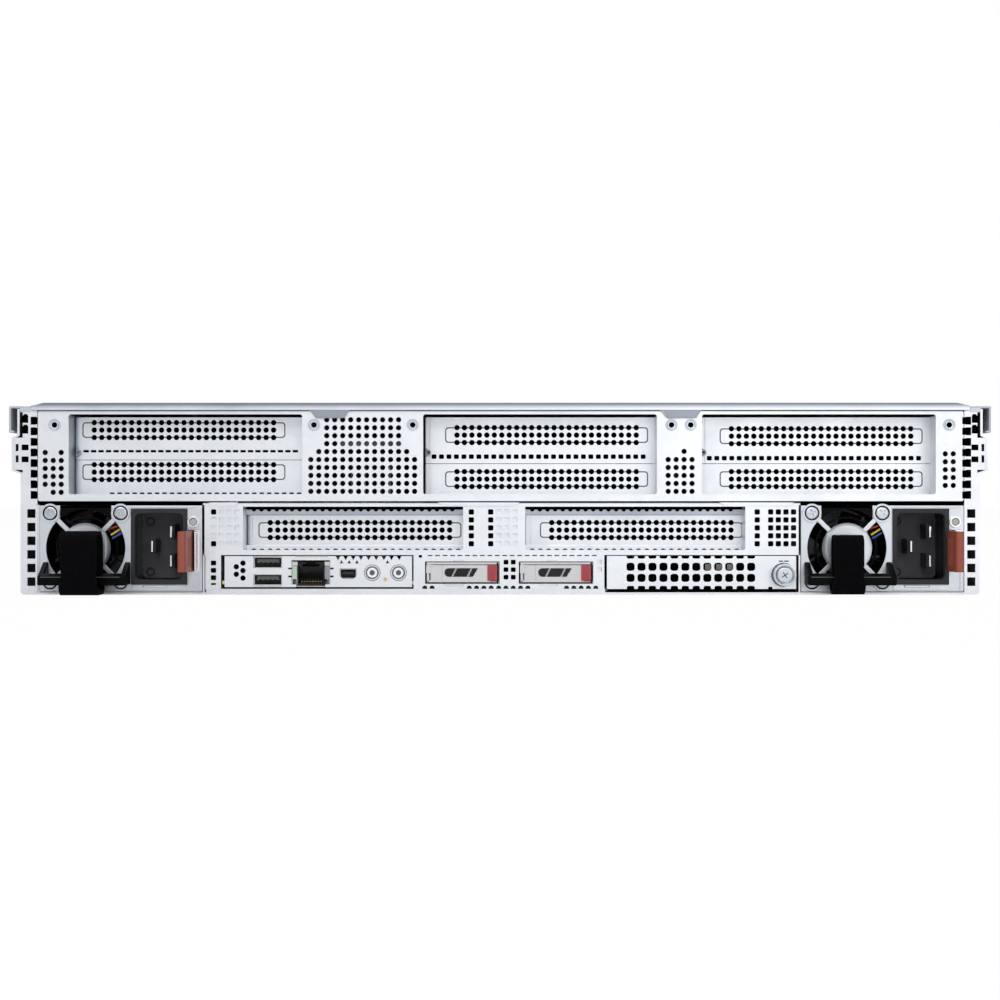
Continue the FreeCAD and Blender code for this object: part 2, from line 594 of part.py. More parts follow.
def rear_wall():
    """Upper rear wall: a sheet round three windows with a folded top flange, and its two end posts."""
    near, far, edge = "window_a + window_w", "window_c + window_w", "column_split + rear_chamfer"
    wall = Piece("RearSheet")
    outline = [("window_a", "column_split"), (far, "column_split"), (far, "window_low"), ("window_c", "window_low"),
               ("window_c", "window_high"), (far, "window_high"), (far, "rear_top"), ("window_a", "rear_top"),
               ("window_a", "window_high"), (near, "window_high"), (near, "window_low"), ("window_a", "window_low")]
    wall.pad("Plate", "y", "0", "wall",
             [outline, rect("window_b", "window_b + window_w", "window_low", "window_high")])
    wall.pad("TopFlange", "y", "wall", "rear_flange",
             [rect("rear_left", "rear_right", "rear_top - wall", "rear_top")])
    sides = (near, "window_b", "window_b + window_w", "window_c")
    wall.round_edges("WindowCorners", "y", "window_round",
                     [(side, level) for side in sides for level in ("window_low", "window_high")])
    left, right = Piece("LeftPost"), Piece("RightPost")
    left.pad("Plate", "y", "0", "wall",
             [[("rear_left + rear_chamfer", "column_split"), ("window_a", "column_split"),
               ("window_a", "rear_top"), ("rear_left", "rear_top"), ("rear_left", edge)]])
    right.pad("Plate", "y", "0", "wall",
              [[(far, "column_split"), ("rear_right - rear_chamfer", "column_split"), ("rear_right", edge),
                ("rear_right", "rear_top"), (far, "rear_top")]])
    tall = "vent + 4 * vent_pitch"
    fields = ((left, "LeftVents", "rear_left + left_vents", "window_low", "3", "1"),
              (wall, "MiddleVents", f"{near} + middle_vents", "window_low", "10", "2"),
              (wall, "PostVents", "window_b + window_w + post_vents", "window_low", "4", "1"),
              (right, "RightVents", f"{far} + right_vents", "window_low + vent", "2", "1"))
    for piece, name, start, low, columns, rows in fields:
        vent = piece.pocket(name, "y", "0", "wall", [rect(start, f"{start} + vent", low, f"{low} + {tall}")])
        piece.grid(vent, columns, "vent_pitch", rows, "5 * vent_pitch")
    group("rear_wall", [wall, left, right])


def slot_blank(name, left, width, low, high, field, shift):
    """A slot blank: plate with a raised, slotted field and an end tab."""
    blank = Piece(name, x=left, y="recess", z=low)
    tall = f"({high}) - ({low})"
    middle = f"(({width}) / 2 + {shift})"
    up = f"{tall} - ({field})"
    blank.pad("Plate", "y", "0", "blank_t", [rect("0", width, "0", tall)])
    blank.pad("Tab", "y", "blank_t", "blank_tab", [rect("0", "blank_t", "0", tall)])
    raised = rect(f"{middle} - emboss_w / 2", f"{middle} + emboss_w / 2",
                  f"{up} - emboss_h / 2", f"{up} + emboss_h / 2")
    blank.pad("Raised", "y", "-emboss_t", "0", [raised])
    first = f"{middle} - (field_slots - 1) / 2 * field_slot_pitch - field_slot_w / 2"
    slot = blank.pocket("Slot", "y", "-emboss_t", "blank_t",
                        [rect(first, f"{first} + field_slot_w", f"{up} - field_h / 2", f"{up} + field_h / 2")])
    blank.grid(slot, "field_slots", "field_slot_pitch")
    return blank


def slot_blanks():
    """Six full-height and two low-profile slot blanks."""
    full = []
    for index, (left, top, pitch, shift) in enumerate((("window_a", "slot_top_a", "slot_pitch_a", "shift_a"),
                                                       ("window_b", "slot_top", "slot_pitch", "shift_bc"),
                                                       ("window_c", "slot_top", "slot_pitch", "shift_bc"))):
        joint = f"{top} - blank_h"
        full.append(slot_blank(f"UpperBlank{index}", left, "window_w", joint, "cage_top - wall - fit",
                               f"cage_top - wall - fit - {top} + field_down", shift))
        full.append(slot_blank(f"LowerBlank{index}", left, "window_w", "cage_floor + wall",
                               f"{joint} - fit", f"{pitch} - blank_h - fit + field_down", shift))
    group("full_height_blanks", full)
    low = [slot_blank(f"LowBlank{index}", left, "low_window_w", "low_window_low", "low_window_high",
                      "low_field_down", "low_shift")
           for index, left in enumerate(("low_window_a", "low_window_b"))]
    group("low_profile_blanks", low)


def riser_cages():
    """Open sheet cages behind the windows, each with a circuit board."""
    cages, boards = [], []
    for index, left in enumerate(("window_a", "window_b", "window_c")):
        right = f"{left} + window_w"
        cage = Piece(f"Cage{index}")
        cage.pad("Channel", "y", "wall", "cage_d",
                 [[(f"{left} - wall", "cage_floor"), (f"{right} + wall", "cage_floor"),
                   (f"{right} + wall", "cage_top - wall"), (right, "cage_top - wall"),
                   (right, "cage_floor + wall"), (left, "cage_floor + wall"),
                   (left, "cage_top - wall"), (f"{left} - wall", "cage_top - wall")]])
        cages.append(cage)
        board = Piece(f"RiserBoard{index}")
        near = f"{left} + riser_board_in"
        board.pad("Board", "x", near, f"{near} + board_t",
                  [[("riser_board_y", "cage_floor + wall"), ("riser_board_end", "cage_floor + wall"),
                    ("riser_board_end", "riser_board_top - riser_board_cut"),
                    ("riser_board_end - 3 * riser_board_cut", "riser_board_top"),
                    ("riser_board_y", "riser_board_top")]])
        boards.append(board)
    group("riser_cages", cages)
    group("riser_boards", boards)


def lower_rear_frame():
    """Frame of the lower rear: strip, bay walls, slot windows and shelf."""
    frame = Piece("lower_rear_frame")
    left = "psu_left + psu_w + fit"
    right = "psu_right - fit"
    windows = [rect(edge, f"{edge} + low_window_w", "low_window_low", "low_window_high")
               for edge in ("low_window_a", "low_window_b")]
    frame.pad("Plate", "y", "0", "wall", [rect(left, right, "frame_low", "frame_high")] + windows)
    frame.pad("Shelf", "y", "0", "shelf_d", [rect(left, right, "shelf_low", "frame_low")])
    frame.pad("Strip", "y", "recess", "strip_d",
              [rect("psu_left - fit - bay_wall", "psu_right + psu_w + fit + bay_wall", "strip_low",
                    "strip_low + wall")])
    frame.pad("Lintel", "y", "0", "shelf_d", [rect(left, right, "frame_high", "strip_low + wall")])
    walls = (("OuterLeft", "psu_left - fit - bay_wall", "wall"), ("InnerLeft", left, "0"),
             ("InnerRight", f"{right} - bay_wall", "0"), ("OuterRight", "psu_right + psu_w + fit", "wall"))
    for name, edge, start in walls:
        frame.pad(name, "y", start, "bay_d", [rect(edge, f"{edge} + bay_wall", "wall", "strip_low")])
    for index, edge in enumerate(("low_window_a", "low_window_b")):
        for side, at in (("Left", f"{edge} - bay_wall"), ("Right", f"{edge} + low_window_w")):
            frame.pad(f"Return{side}{index}", "y", "wall", "recess + blank_tab",
                      [rect(at, f"{at} + bay_wall", "frame_low", "frame_high")])
    vents = (("BlockA", f"{left} + block_a", "4"),
             ("PostA", "low_window_a + low_window_w + post_vent", "1"),
             ("BlockB", "low_window_a + low_window_w + block_b", "4"),
             ("PostB", "low_window_b + low_window_w + 2 * post_vent", "1"),
             ("BlockC", "low_window_b + low_window_w + block_c", "4"))
    for name, edge, columns in vents:
        vent = frame.pocket(name, "y", "0", "wall",
                            [rect(edge, f"{edge} + block_vent", "frame_low + block_low",
                                  "frame_low + block_low + 4 * block_pitch + block_vent")])
        if columns != "1":
            frame.grid(vent, columns, "block_pitch")
    return frame.done()


def psu_case(side, x):
    """Sheet case with a fan guard, an inlet opening and a latch slot."""
    case = Piece(f"psu_case_{side}", x=x, z="psu_z")
    case.pad("Tube", "y", "0", "psu_d",
             [rect("0", "psu_w", "0", "psu_h"), rect("psu_t", "psu_w - psu_t", "psu_t", "psu_h - psu_t")])
    inlet = rect("inlet_x + fit", "inlet_x + inlet_w - fit", "inlet_z + fit", "inlet_z + inlet_h - fit")
    slot = rect("latch_x + latch_w - latch_stem - latch_play", "latch_x + latch_w + latch_play", "latch_z - fit",
                "latch_z + latch_h + fit")
    inner = rect("psu_t / 2", "psu_w - psu_t / 2", "psu_t / 2", "psu_h - psu_t / 2")
    case.pad("RearPlate", "y", "0", "psu_t", [inner, ("fan_x", "fan_z", "fan_r"), inlet, slot])
    case.pocket("Notch", "y", "0", "psu_t",
                [rect("fan_x - fan_notch / 2", "fan_x + fan_notch / 2", "fan_z", "psu_h - psu_t")])
    case.pad("FrontPlate", "y", "psu_d - psu_t", "psu_d", [inner])
    case.pad("HubDisc", "y", "0", "psu_t", [("fan_x", "fan_z", "fan_hub_r")])
    reach = "fan_r + wall"
    for turn in (45, 135):
        case.pad(f"Spokes{turn}", "y", "0", "psu_t",
                 [rect(f"-({reach})", reach, "-spoke_w / 2", "spoke_w / 2")],
                 turn=turn, centre=("fan_x", "fan_z"))
    return case.done()


def psu_fan_frame(side, x):
    """Plastic fan frame with a bore and a motor plate on struts."""
    frame = Piece(f"psu_fan_frame_{side}", x=x, y="psu_t", z="psu_z")
    frame.pad("Frame", "y", "0", "frame_d",
              [rect("fan_x - frame_w / 2", "fan_x + frame_w / 2", "fan_z - frame_h / 2",
                    "fan_z + frame_h / 2"), ("fan_x", "fan_z", "fan_r - bore_step")])
    plate = "frame_d - motor_plate"
    frame.pad("MotorPlate", "y", plate, "frame_d", [("fan_x", "fan_z", "rotor_hub_r")])
    frame.pad("Struts", "y", plate, "frame_d", [rect("-fan_r", "fan_r", "-spoke_w / 2", "spoke_w / 2")],
              turn=20, centre=("fan_x", "fan_z"))
    return frame.done()


def rotor(label, x, y, z, hub_r, tip_r, depth):
    """Hub with a ring of skewed blades."""
    wheel = Piece(label, x=x, y=y, z=z)
    wheel.pad("Hub", "y", "0", depth, [("0", "0", hub_r)])
    middle, rise = f"({depth}) / 2", f"({depth}) * blade_chord"
    run = f"{rise} / tan(blade_pitch)"
    tip = f"sqrt(({tip_r})^2 - ({run} + blade_t / 2)^2)"
    blade = wheel.pad("Blade", "x", f"{hub_r} - blade_root", tip,
                      [[(f"{middle} - {rise}", f"-({run}) - blade_t / 2"),
                        (f"{middle} + {rise}", f"{run} - blade_t / 2"),
                        (f"{middle} + {rise}", f"{run} + blade_t / 2"),
                        (f"{middle} - {rise}", f"-({run}) + blade_t / 2")]])
    ring = wheel.body.newObject("PartDesign::PolarPattern", "Blades")
    ring.Originals = [blade]
    ring.Axis = ([part for part in wheel.body.Origin.OriginFeatures if part.Role == "Y_Axis"][0], [""])
    ring.Angle = 360
    bind(ring, Occurrences="blades")
    wheel.body.Tip = ring
    DOC.recompute()
    return wheel.done()


def psu_inlet(side, x):
    """C20 inlet: flange, body, socket and three flat pins."""
    inlet = Piece(f"psu_inlet_{side}", x=f"{x} + inlet_x", z="psu_z + inlet_z")
    body = rect("2 * fit", "inlet_w - 2 * fit", "2 * fit", "inlet_h - 2 * fit")
    socket = rect("inlet_rim", "inlet_w - inlet_rim", "inlet_rim", "inlet_h - inlet_rim")
    inlet.pad("Flange", "y", "-inlet_out", "0", [rect("0", "inlet_w", "0", "inlet_h")])
    inlet.pad("Body", "y", "0", "inlet_in", [body])
    inlet.pocket("Socket", "y", "-inlet_out", "socket_deep - inlet_out", [socket])
    corners = [(u, v) for u in ("inlet_rim", "inlet_w - inlet_rim")
               for v in ("inlet_rim", "inlet_h - inlet_rim")]
    inlet.round_edges("SocketCorners", "y", "socket_r", corners)
    floor = "socket_deep - inlet_out"
    pins = (("Earth", "earth_x", "inlet_h / 2"), ("Line", "line_x", "inlet_h / 2 + line_dz"),
            ("Neutral", "line_x", "inlet_h / 2 - line_dz"))
    for name, across, up in pins:
        inlet.pad(name, "y", f"{floor} - pin_l", floor,
                  [rect(f"{across} - pin_t / 2", f"{across} + pin_t / 2", f"{up} - pin_h / 2",
                        f"{up} + pin_h / 2")])
    return inlet.done()


def psu_handle(side, x):
    """U handle: two arms that taper to a bar."""
    handle = Piece(f"psu_handle_{side}", x=f"{x} + handle_x", z="psu_z + handle_z")
    side_view = [("0", "0"), ("0", "handle_arm_top - handle_z"), ("-handle_out + handle_slope", "handle_bar_h"),
                 ("-handle_out", "handle_bar_h - handle_edge"), ("-handle_out", "0")]
    handle.pad("Bail", "x", "0", "handle_w", [side_view])
    handle.pocket("FingerGap", "x", "handle_arm", "handle_w - handle_arm",
                  [rect("-handle_out + handle_bar_t", "1", "-1", "handle_arm_top")])
    return handle.done()


def psu_strap(side, x, kind):
    """Hook-and-loop strap: a flat loop around the handle's bar."""
    strap = Piece(f"psu_strap_{side}", x=f"{x} + {kind}_strap_x", z="strap_z")
    back, front = "-strap_back", f"-strap_back - {kind}_strap_d"
    high = f"{kind}_strap_h"
    outer = rect(front, back, "0", high)
    inner = rect(f"{front} + strap_t", f"{back} - strap_t", "strap_t", f"{high} - strap_t")
    strap.pad("Loop", "x", "0", "strap_w", [outer, inner])
    for name, loop, thick in (("Outer", outer, "0"), ("Inner", inner, "strap_t")):
        strap.round_edges(name + "Foot", "x", f"strap_foot_r - {thick}", loop[:2])
        strap.round_edges(name + "Top", "x", f"{kind}_strap_r - {thick}", loop[2:])
    return strap.done()


def psu_latch(side, x):
    """Release latch: a rounded grip on a thin stem."""
    latch = Piece(f"psu_latch_{side}", x=f"{x} + latch_x", z="psu_z + latch_z")
    grip_end = "-latch_grip_back"
    latch.pad("Grip", "z", "0", "latch_h", [rect("0", "latch_w", "-latch_out", grip_end)])
    latch.pad("Stem", "z", "0", "latch_h",
              [rect("latch_w - latch_stem", "latch_w", f"{grip_end} - wall", "latch_in")])
    latch.round_edges("Nose", "z", "latch_w * 0.4", [("0", "-latch_out"), ("latch_w", "-latch_out")])
    return latch.done()


def power_supplies():
    """Two power supplies, alike but for how their straps lie."""
    for side, x, kind in (("left", "psu_left", "loose"), ("right", "psu_right", "snug")):
        psu_case(side, x)
        psu_fan_frame(side, x)
        rotor(f"psu_fan_rotor_{side}", f"{x} + fan_x", "psu_t + frame_d - motor_plate - rotor_d - fit",
              "psu_z + fan_z", "rotor_hub_r", "fan_r - bore_step - tip_gap", "rotor_d")
        psu_inlet(side, x)
        psu_handle(side, x)
        psu_strap(side, x, kind)
        psu_latch(side, x)


def io_panel():
    """Panel for the ports and the two rear buttons."""
    panel = Piece("io_panel")
    usb_top = "usb_low + usb_pitch"
    openings = [rect("usb_x - fit", "usb_x + usb_w + fit", "usb_low - fit", "usb_low + usb_h + fit"),
                rect("usb_x - fit", "usb_x + usb_w + fit", f"{usb_top} - fit", f"{usb_top} + usb_h + fit"),
                rect("net_x - fit", "net_x + net_w + fit", "net_low - fit", "net_low + net_h + fit"),
                rect("display_x - fit", "display_x + display_w + fit", "display_low - fit",
                     "display_low + display_h + fit"),
                ("id_x", "button_z", "button_r + fit"), ("reset_x", "button_z", "button_r + fit")]
    panel.pad("Plate", "y", "0", "panel_t", [rect("io_left", "io_right", "panel_low", "panel_high")] + openings)
    for name, left, columns in (("SideVents", "io_left + side_vent", "1"), ("PortVents", "usb_x - port_vent", "2")):
        vent = panel.pocket(name, "y", "0", "panel_t",
                            [rect(left, f"{left} + block_vent", "panel_vent_z", "panel_vent_z + block_vent")])
        panel.grid(vent, columns, "vent_pitch", "3", "vent_pitch")
    return panel.done()


def socket_tongue(name, x, low, wide, high):
    """A port shell with a mouth and a contact tongue."""
    port = Piece(name, x=x, y="-fit", z=low)
    port.pad("Shell", "y", "0", "port_d", [rect("0", wide, "0", high)])
    port.pocket("Mouth", "y", "0", "port_d - port_back",
                [rect("port_t", f"{wide} - port_t", "port_t", f"{high} - port_t")])
    port.pad("Tongue", "y", "port_back", "port_d - port_back",
             [rect(f"{wide} * 0.18", f"{wide} * 0.82", f"{high} * 0.56", f"{high} * 0.74")])
    return port


def io_ports():
    """Two stacked USB sockets, a network jack and a display socket."""
    ports = [socket_tongue("UsbLow", "usb_x", "usb_low", "usb_w", "usb_h"),
             socket_tongue("UsbHigh", "usb_x", "usb_low + usb_pitch", "usb_w", "usb_h"),
             socket_tongue("Display", "display_x", "display_low", "display_w", "display_h")]
    seat = "main_z + board_t"
    jack = Piece("NetworkJack", x="net_x", y="-fit", z="net_low")
    jack.pad("Shell", "y", "0", "port_d + 4", [rect("0", "net_w", "0", "net_h")])
    left, right = "(net_w - net_mouth_w) / 2", "(net_w + net_mouth_w) / 2"
    key_left, key_right = "(net_w - net_key_w) / 2", "(net_w + net_key_w) / 2"
    top = "net_floor + net_mouth_h"
    jack.pocket("Mouth", "y", "0", "net_deep",
                [[(left, "net_floor"), (right, "net_floor"), (right, top), (key_right, top),
                  (key_right, f"{top} + net_key_h"), (key_left, f"{top} + net_key_h"),
                  (key_left, top), (left, top)]])
    ports.append(jack)
    for name, low, high in (("UsbSpacer", "usb_low + usb_h", "usb_pitch - usb_h"),
                            ("UsbFoot", seat, f"usb_low - ({seat})")):
        block = Piece(name, x="usb_x", y="main_tail_y", z=low)
        block.pad("Block", "y", "0", "port_d - main_tail_y - fit", [rect("0", "usb_w", "0", high)])
        ports.append(block)
    group("io_ports", ports)


def rear_button(label, x):
    """A round button with a retaining flange behind the panel."""
    button = Piece(label, x=x, z="button_z")
    button.pad("Cap", "y", "-button_out", "panel_t + button_play", [("0", "0", "button_r")])
    flange = "(button_r + button_flange)"
    button.pad("Flange", "y", "panel_t + button_play", "panel_t + button_play + 2 * button_travel",
               [rect(f"-{flange}", flange, f"-{flange}", flange)])
    return button.done()


def boot_bay_panel():
    """Panel with two sleeves for the boot-drive carriers."""
    panel = Piece("boot_bay_panel")
    bays = [rect(left, f"{left} + boot_bay_w", "boot_bay_low", "boot_bay_low + boot_bay_h")
            for left in ("boot_bay_a", "boot_bay_b")]
    panel.pad("Plate", "y", "0", "panel_t", [rect("boot_left", "boot_right", "panel_low", "panel_high")] + bays)
    for index, (left, bay) in enumerate(zip(("boot_bay_a", "boot_bay_b"), bays)):
        sleeve = rect(f"{left} - boot_bay_t", f"{left} + boot_bay_w + boot_bay_t",
                      "boot_bay_low - boot_bay_t", "boot_bay_low + boot_bay_h + boot_bay_t")
        panel.pad(f"Sleeve{index}", "y", "panel_t", "boot_bay_d", [sleeve, bay])
    left = "boot_bay_a + boot_bay_w + boot_vent"
    vent = panel.pocket("MiddleVents", "y", "0", "panel_t",
                        [rect(left, f"{left} + block_vent", "panel_vent_z", "panel_vent_z + block_vent")])
    panel.grid(vent, "2", "vent_pitch", "3", "vent_pitch")
    vent = panel.pocket("TopSlits", "y", "0", "panel_t",
                        [rect("boot_left + top_slit_x", "boot_left + top_slit_x + top_slit_w",
                              "panel_high - 2 * top_slit_h", "panel_high - top_slit_h")])
    panel.grid(vent, "8", "top_slit_w + wall")
    return panel.done()


def boot_drive(index, left):
    """A boot-drive carrier with its swing lever and release."""
    carrier = Piece(f"boot_carrier_{index}", x=f"{left} + fit", y="-boot_out", z="boot_bay_low + fit")
    wide, high = "boot_bay_w - 2 * fit", "boot_bay_h - 2 * fit"
    rim = f"({high}) - tray_down"
    carrier.pad("Face", "y", "0", "boot_face_d", [rect("0", wide, "0", high)])
    carrier.pad("Tray", "y", "boot_face_d", "boot_tray_d",
                [[("0", "0"), (wide, "0"), (wide, rim), (f"{wide} - tray_wall", rim),
                  (f"{wide} - tray_wall", "tray_wall"), ("tray_wall", "tray_wall"), ("tray_wall", rim), ("0", rim)]])
    lever_low = f"(({high}) - lever_h) / 2"
    carrier.pocket("LeverSeat", "y", "0", "lever_t + 2 * fit",
                   [rect("lever_in - 2 * fit", f"{wide} + fit", f"{lever_low} - fit", f"{lever_low} + lever_h + fit")])
    carrier.done()
    lever = Piece(f"boot_lever_{index}", x=f"{left} + fit + lever_in", y="-boot_out",
                  z=f"boot_bay_low + fit + {lever_low}")
    lever.pad("Blade", "y", "0", "lever_t", [rect("0", "lever_w", "0", "lever_h")])
    lever.pad("End", "y", "lever_t - lever_end_t", "lever_t",
              [rect("lever_w", "lever_w + release_gap + release_w", "0", "lever_h")])
    lever.done()
    release = Piece(f"boot_release_{index}", x=f"{left} + fit + lever_in + lever_w + release_gap",
                    y="-boot_out - release_out", z=f"boot_bay_low + fit + {lever_low}")
    release.pad("Slider", "y", "0", "lever_t - lever_end_t", [rect("0", "release_w", "0", "lever_h")])
    release.done()


def network_card():
    """Network card: grille panel, board and captive thumbscrew."""
    panel = Piece("network_panel")
    panel.pad("Plate", "y", "0", "panel_t",
              [rect("card_left", "card_right", "card_low", "panel_high"),
               ("screw_x", "screw_z", "screw_shank_r + fit")])
    vent = panel.pocket("Vents", "y", "0", "panel_t",
                        [rect("card_vent_x", "card_vent_x + card_vent", "card_vent_z", "card_vent_z + card_vent")])
    panel.grid(vent, "card_columns", "card_pitch", "2", "card_pitch")
    panel.done()
    board = Piece("network_board", y="panel_t", z="card_board_z")
    near, far = "card_left + card_board_in", "screw_x - card_board_off"
    board.pad("Board", "z", "0", "board_t",
              [[(near, "0"), (far, "0"), (far, "card_board_d - card_board_off"),
                (f"{far} - card_board_off", "card_board_d"), (f"{near} + card_board_off", "card_board_d"),
                (near, "card_board_d - card_board_off")]])
    chip = f"{near} + 2 * card_board_off"
    board.pad("Chip", "z", "board_t", "board_t + card_chip_h",
              [rect(chip, f"{chip} + card_chip", "card_chip", "2 * card_chip")])
    board.done()
    screw = Piece("network_screw", x="screw_x", z="screw_z")
    screw.pad("Head", "y", "-screw_out", "-screw_neck", [("0", "0", "screw_r")])
    screw.pad("Shank", "y", "-screw_neck", "screw_in", [("0", "0", "screw_shank_r")])
    screw.done()


def top_cover():
    """Lid: crowned sheet with side hooks, rear lip, tongues and latch recess."""
    half, crown = "lid_w / 2", "lid_crown / 2"
    margin = "lid_top - lid_drop"
    hook = f"{half} - hook_w"
    outer = [(half, "lid_side_low"), (half, margin), (f"{crown} + lid_step", margin), (crown, "lid_top")]
    inner = [(crown, "lid_top - lid_t"), (f"{crown} + lid_step", f"{margin} - lid_t"),
             (f"{half} - lid_t", f"{margin} - lid_t"), (f"{half} - lid_t", "lid_side_low + lid_t"),
             (hook, "lid_side_low + lid_t"), (hook, "lid_side_low")]
    left_outer = [(f"-({u})", v) for u, v in reversed(outer)]
    left_inner = [(f"-({u})", v) for u, v in reversed(inner)]
    lid = Piece("top_cover")
    end = "chassis_d - front_deck - fit"
    lid.pad("Sheet", "y", "-fit", end, [outer + left_outer + left_inner + inner])
    lid.pad("Lip", "y", "-fit - lid_t", "-fit",
            [[(f"-({crown}) - lid_step", "lid_lip_low"), (f"{crown} + lid_step", "lid_lip_low"),
              (f"{crown} + lid_step", margin), (crown, "lid_top"), (f"-({crown})", "lid_top"),
              (f"-({crown}) - lid_step", margin)]])
    for index, left in enumerate(("tongue_a", "tongue_b")):
        right = f"{left} + tongue_w"
        lid.pad(f"Tongue{index}", "y", "-fit - lid_t", "-fit",
                [[(left, "lid_lip_low"), (f"{left} + tongue_slant", "tongue_low"),
                  (f"{right} - tongue_slant", "tongue_low"), (right, "lid_lip_low")]])
    low, floor = "lid_top - pan_deep", "lid_top - pan_deep + lid_t"
    box = rect("-pan_w / 2", "pan_w / 2", "pan_y", "pan_y + pan_l")
    lid.pad("Pan", "z", low, "lid_top - lid_t",
            [rect("-pan_w / 2 - lid_t", "pan_w / 2 + lid_t", "pan_y - lid_t", "pan_y + pan_l + lid_t")])
    lid.pocket("PanHollow", "z", floor, "lid_top + lid_t", [box])
    lid.round_edges("PanCorners", "z", "pan_r", box)
    lid.done()
    lever = Piece("cover_latch", z="lid_top - lid_lever_t - lever_down")
    left, right = "-pan_w / 2 + lever_gap", "pan_w / 2 - lever_gap"
    near, far = "pan_y + lever_gap", "pan_y + pan_l - lid_lever_grip"
    lever.pad("Plate", "z", "0", "lid_lever_t", [rect(left, right, near, far)])
    lever.pad("Foot", "z", "-(pan_deep - lid_t - lid_lever_t - lever_down) + lever_down", "0",
              [rect("-pan_w / 4", "pan_w / 4", f"{near} + lever_foot", f"{near} + 2 * lever_foot")])
    lever.round_edges("Corners", "z", "pan_r - lever_gap", rect(left, right, near, far))
    lever.done()


def mainboard():
    """T-shaped circuit board on the chassis floor."""
    board = Piece("mainboard", z="main_z")
    tail = "main_tail_w / 2"
    board.pad("Board", "z", "0", "board_t",
              [[(f"-({tail})", "main_tail_y"), (tail, "main_tail_y"), (tail, "main_y"),
                ("main_w / 2", "main_y"), ("main_w / 2", "main_end"), ("-main_w / 2", "main_end"),
                ("-main_w / 2", "main_y"), (f"-({tail})", "main_y")]])
    stand = board.pad("Standoffs", "z", "wall - main_z", "0",
                     [rect("-main_w / 2 + stud", "-main_w / 2 + 2 * stud", "main_y + stud", "main_y + 2 * stud")])
    board.grid(stand, "4", "(main_w - 3 * stud) / 3", "3", "(main_end - main_y - 3 * stud) / 2")
    return board.done()


def heatsinks():
    """Two finned processor heatsinks."""
    sinks = []
    step = "(sink_w - fin_t) / (sink_fins - 1)"
    for index, sign in enumerate(("-", "")):
        sink = Piece(f"Sink{index}", x=f"{sign}sink_x - sink_w / 2", y="sink_y", z="main_z + board_t")
        sink.pad("Base", "y", "0", "sink_l", [rect("0", "sink_w", "0", "sink_base")])
        fin = sink.pad("Fin", "y", "0", "sink_l", [rect("0", "fin_t", "sink_base", "sink_h")])
        sink.grid(fin, "sink_fins", step)
        sinks.append(sink)
    group("processor_heatsinks", sinks)


def memory_modules():
    """Four banks of upright memory modules."""
    sticks = []
    span = "((dimm_count - 1) * dimm_pitch + dimm_t)"
    starts = (f"-dimm_outer - {span}", f"-dimm_inner - {span}", "dimm_inner", "dimm_outer")
    for bank, start in enumerate(starts):
        for place_in_bank in range(int(number("dimm_count"))):
            stick = DOC.addObject("Part::Box", f"Memory{bank}_{place_in_bank}")
            bind(stick, Length="dimm_t", Width="dimm_l", Height="dimm_h")
            place(stick, f"{start} + {place_in_bank} * dimm_pitch", "dimm_y", "main_z + board_t")
            sticks.append(stick)
    bundle = DOC.addObject("Part::Compound", "memory_modules")
    bundle.Links = sticks
    DOC.recompute()
    keep(bundle, "memory_modules")


def air_shroud():
    """Plastic channel over the processors and memory."""
    shroud = Piece("air_shroud")
    half, seat = "main_w / 2", "main_z + board_t"
    roof = "shroud_top - shroud_t"
    shroud.pad("Channel", "y", "shroud_y", "shroud_y + shroud_l",
               [[(f"-({half})", seat), (f"-({half}) + shroud_t", seat), (f"-({half}) + shroud_t", roof),
                 (f"{half} - shroud_t", roof), (f"{half} - shroud_t", seat), (half, seat),
                 (half, "shroud_top"), (f"-({half})", "shroud_top")]])
    return shroud.done()


def cooling_fans():
    """Fan wall with four bores and motor plates, and four rotors."""
    frame = Piece("fan_cage", y="fans_y", z="wall")
    middle = "fans_h / 2"
    centres = [f"(({index}) - 1.5) * big_fan_pitch" for index in range(4)]
    outline = rect("-fans_w / 2", "fans_w / 2", "0", "fans_h")
    frame.pad("Frame", "y", "0", "fans_d", [outline] + [(centre, middle, "big_fan_r") for centre in centres])
    for index, centre in enumerate(centres):
        frame.pad(f"MotorPlate{index}", "y", "0", "big_strut_d", [(centre, middle, "big_hub_r")])
        reach = "big_fan_r + wall"
        frame.pad(f"Struts{index}", "y", "0", "big_strut_d",
                  [rect(f"-({reach})", reach, "-big_strut / 2", "big_strut / 2")],
                  turn=45, centre=(centre, middle))
    frame.done()
    for index, centre in enumerate(centres, 1):
        rotor(f"fan_rotor_{index}", centre, "fans_y + big_strut_d + fit", f"wall + {middle}", "big_hub_r",
              "big_fan_r - tip_gap", "big_rotor_d")


def bay_left(index):
    """Left edge of a drive bay, counted from the left."""
    return f"(({index}) - bay_count / 2) * bay_pitch"


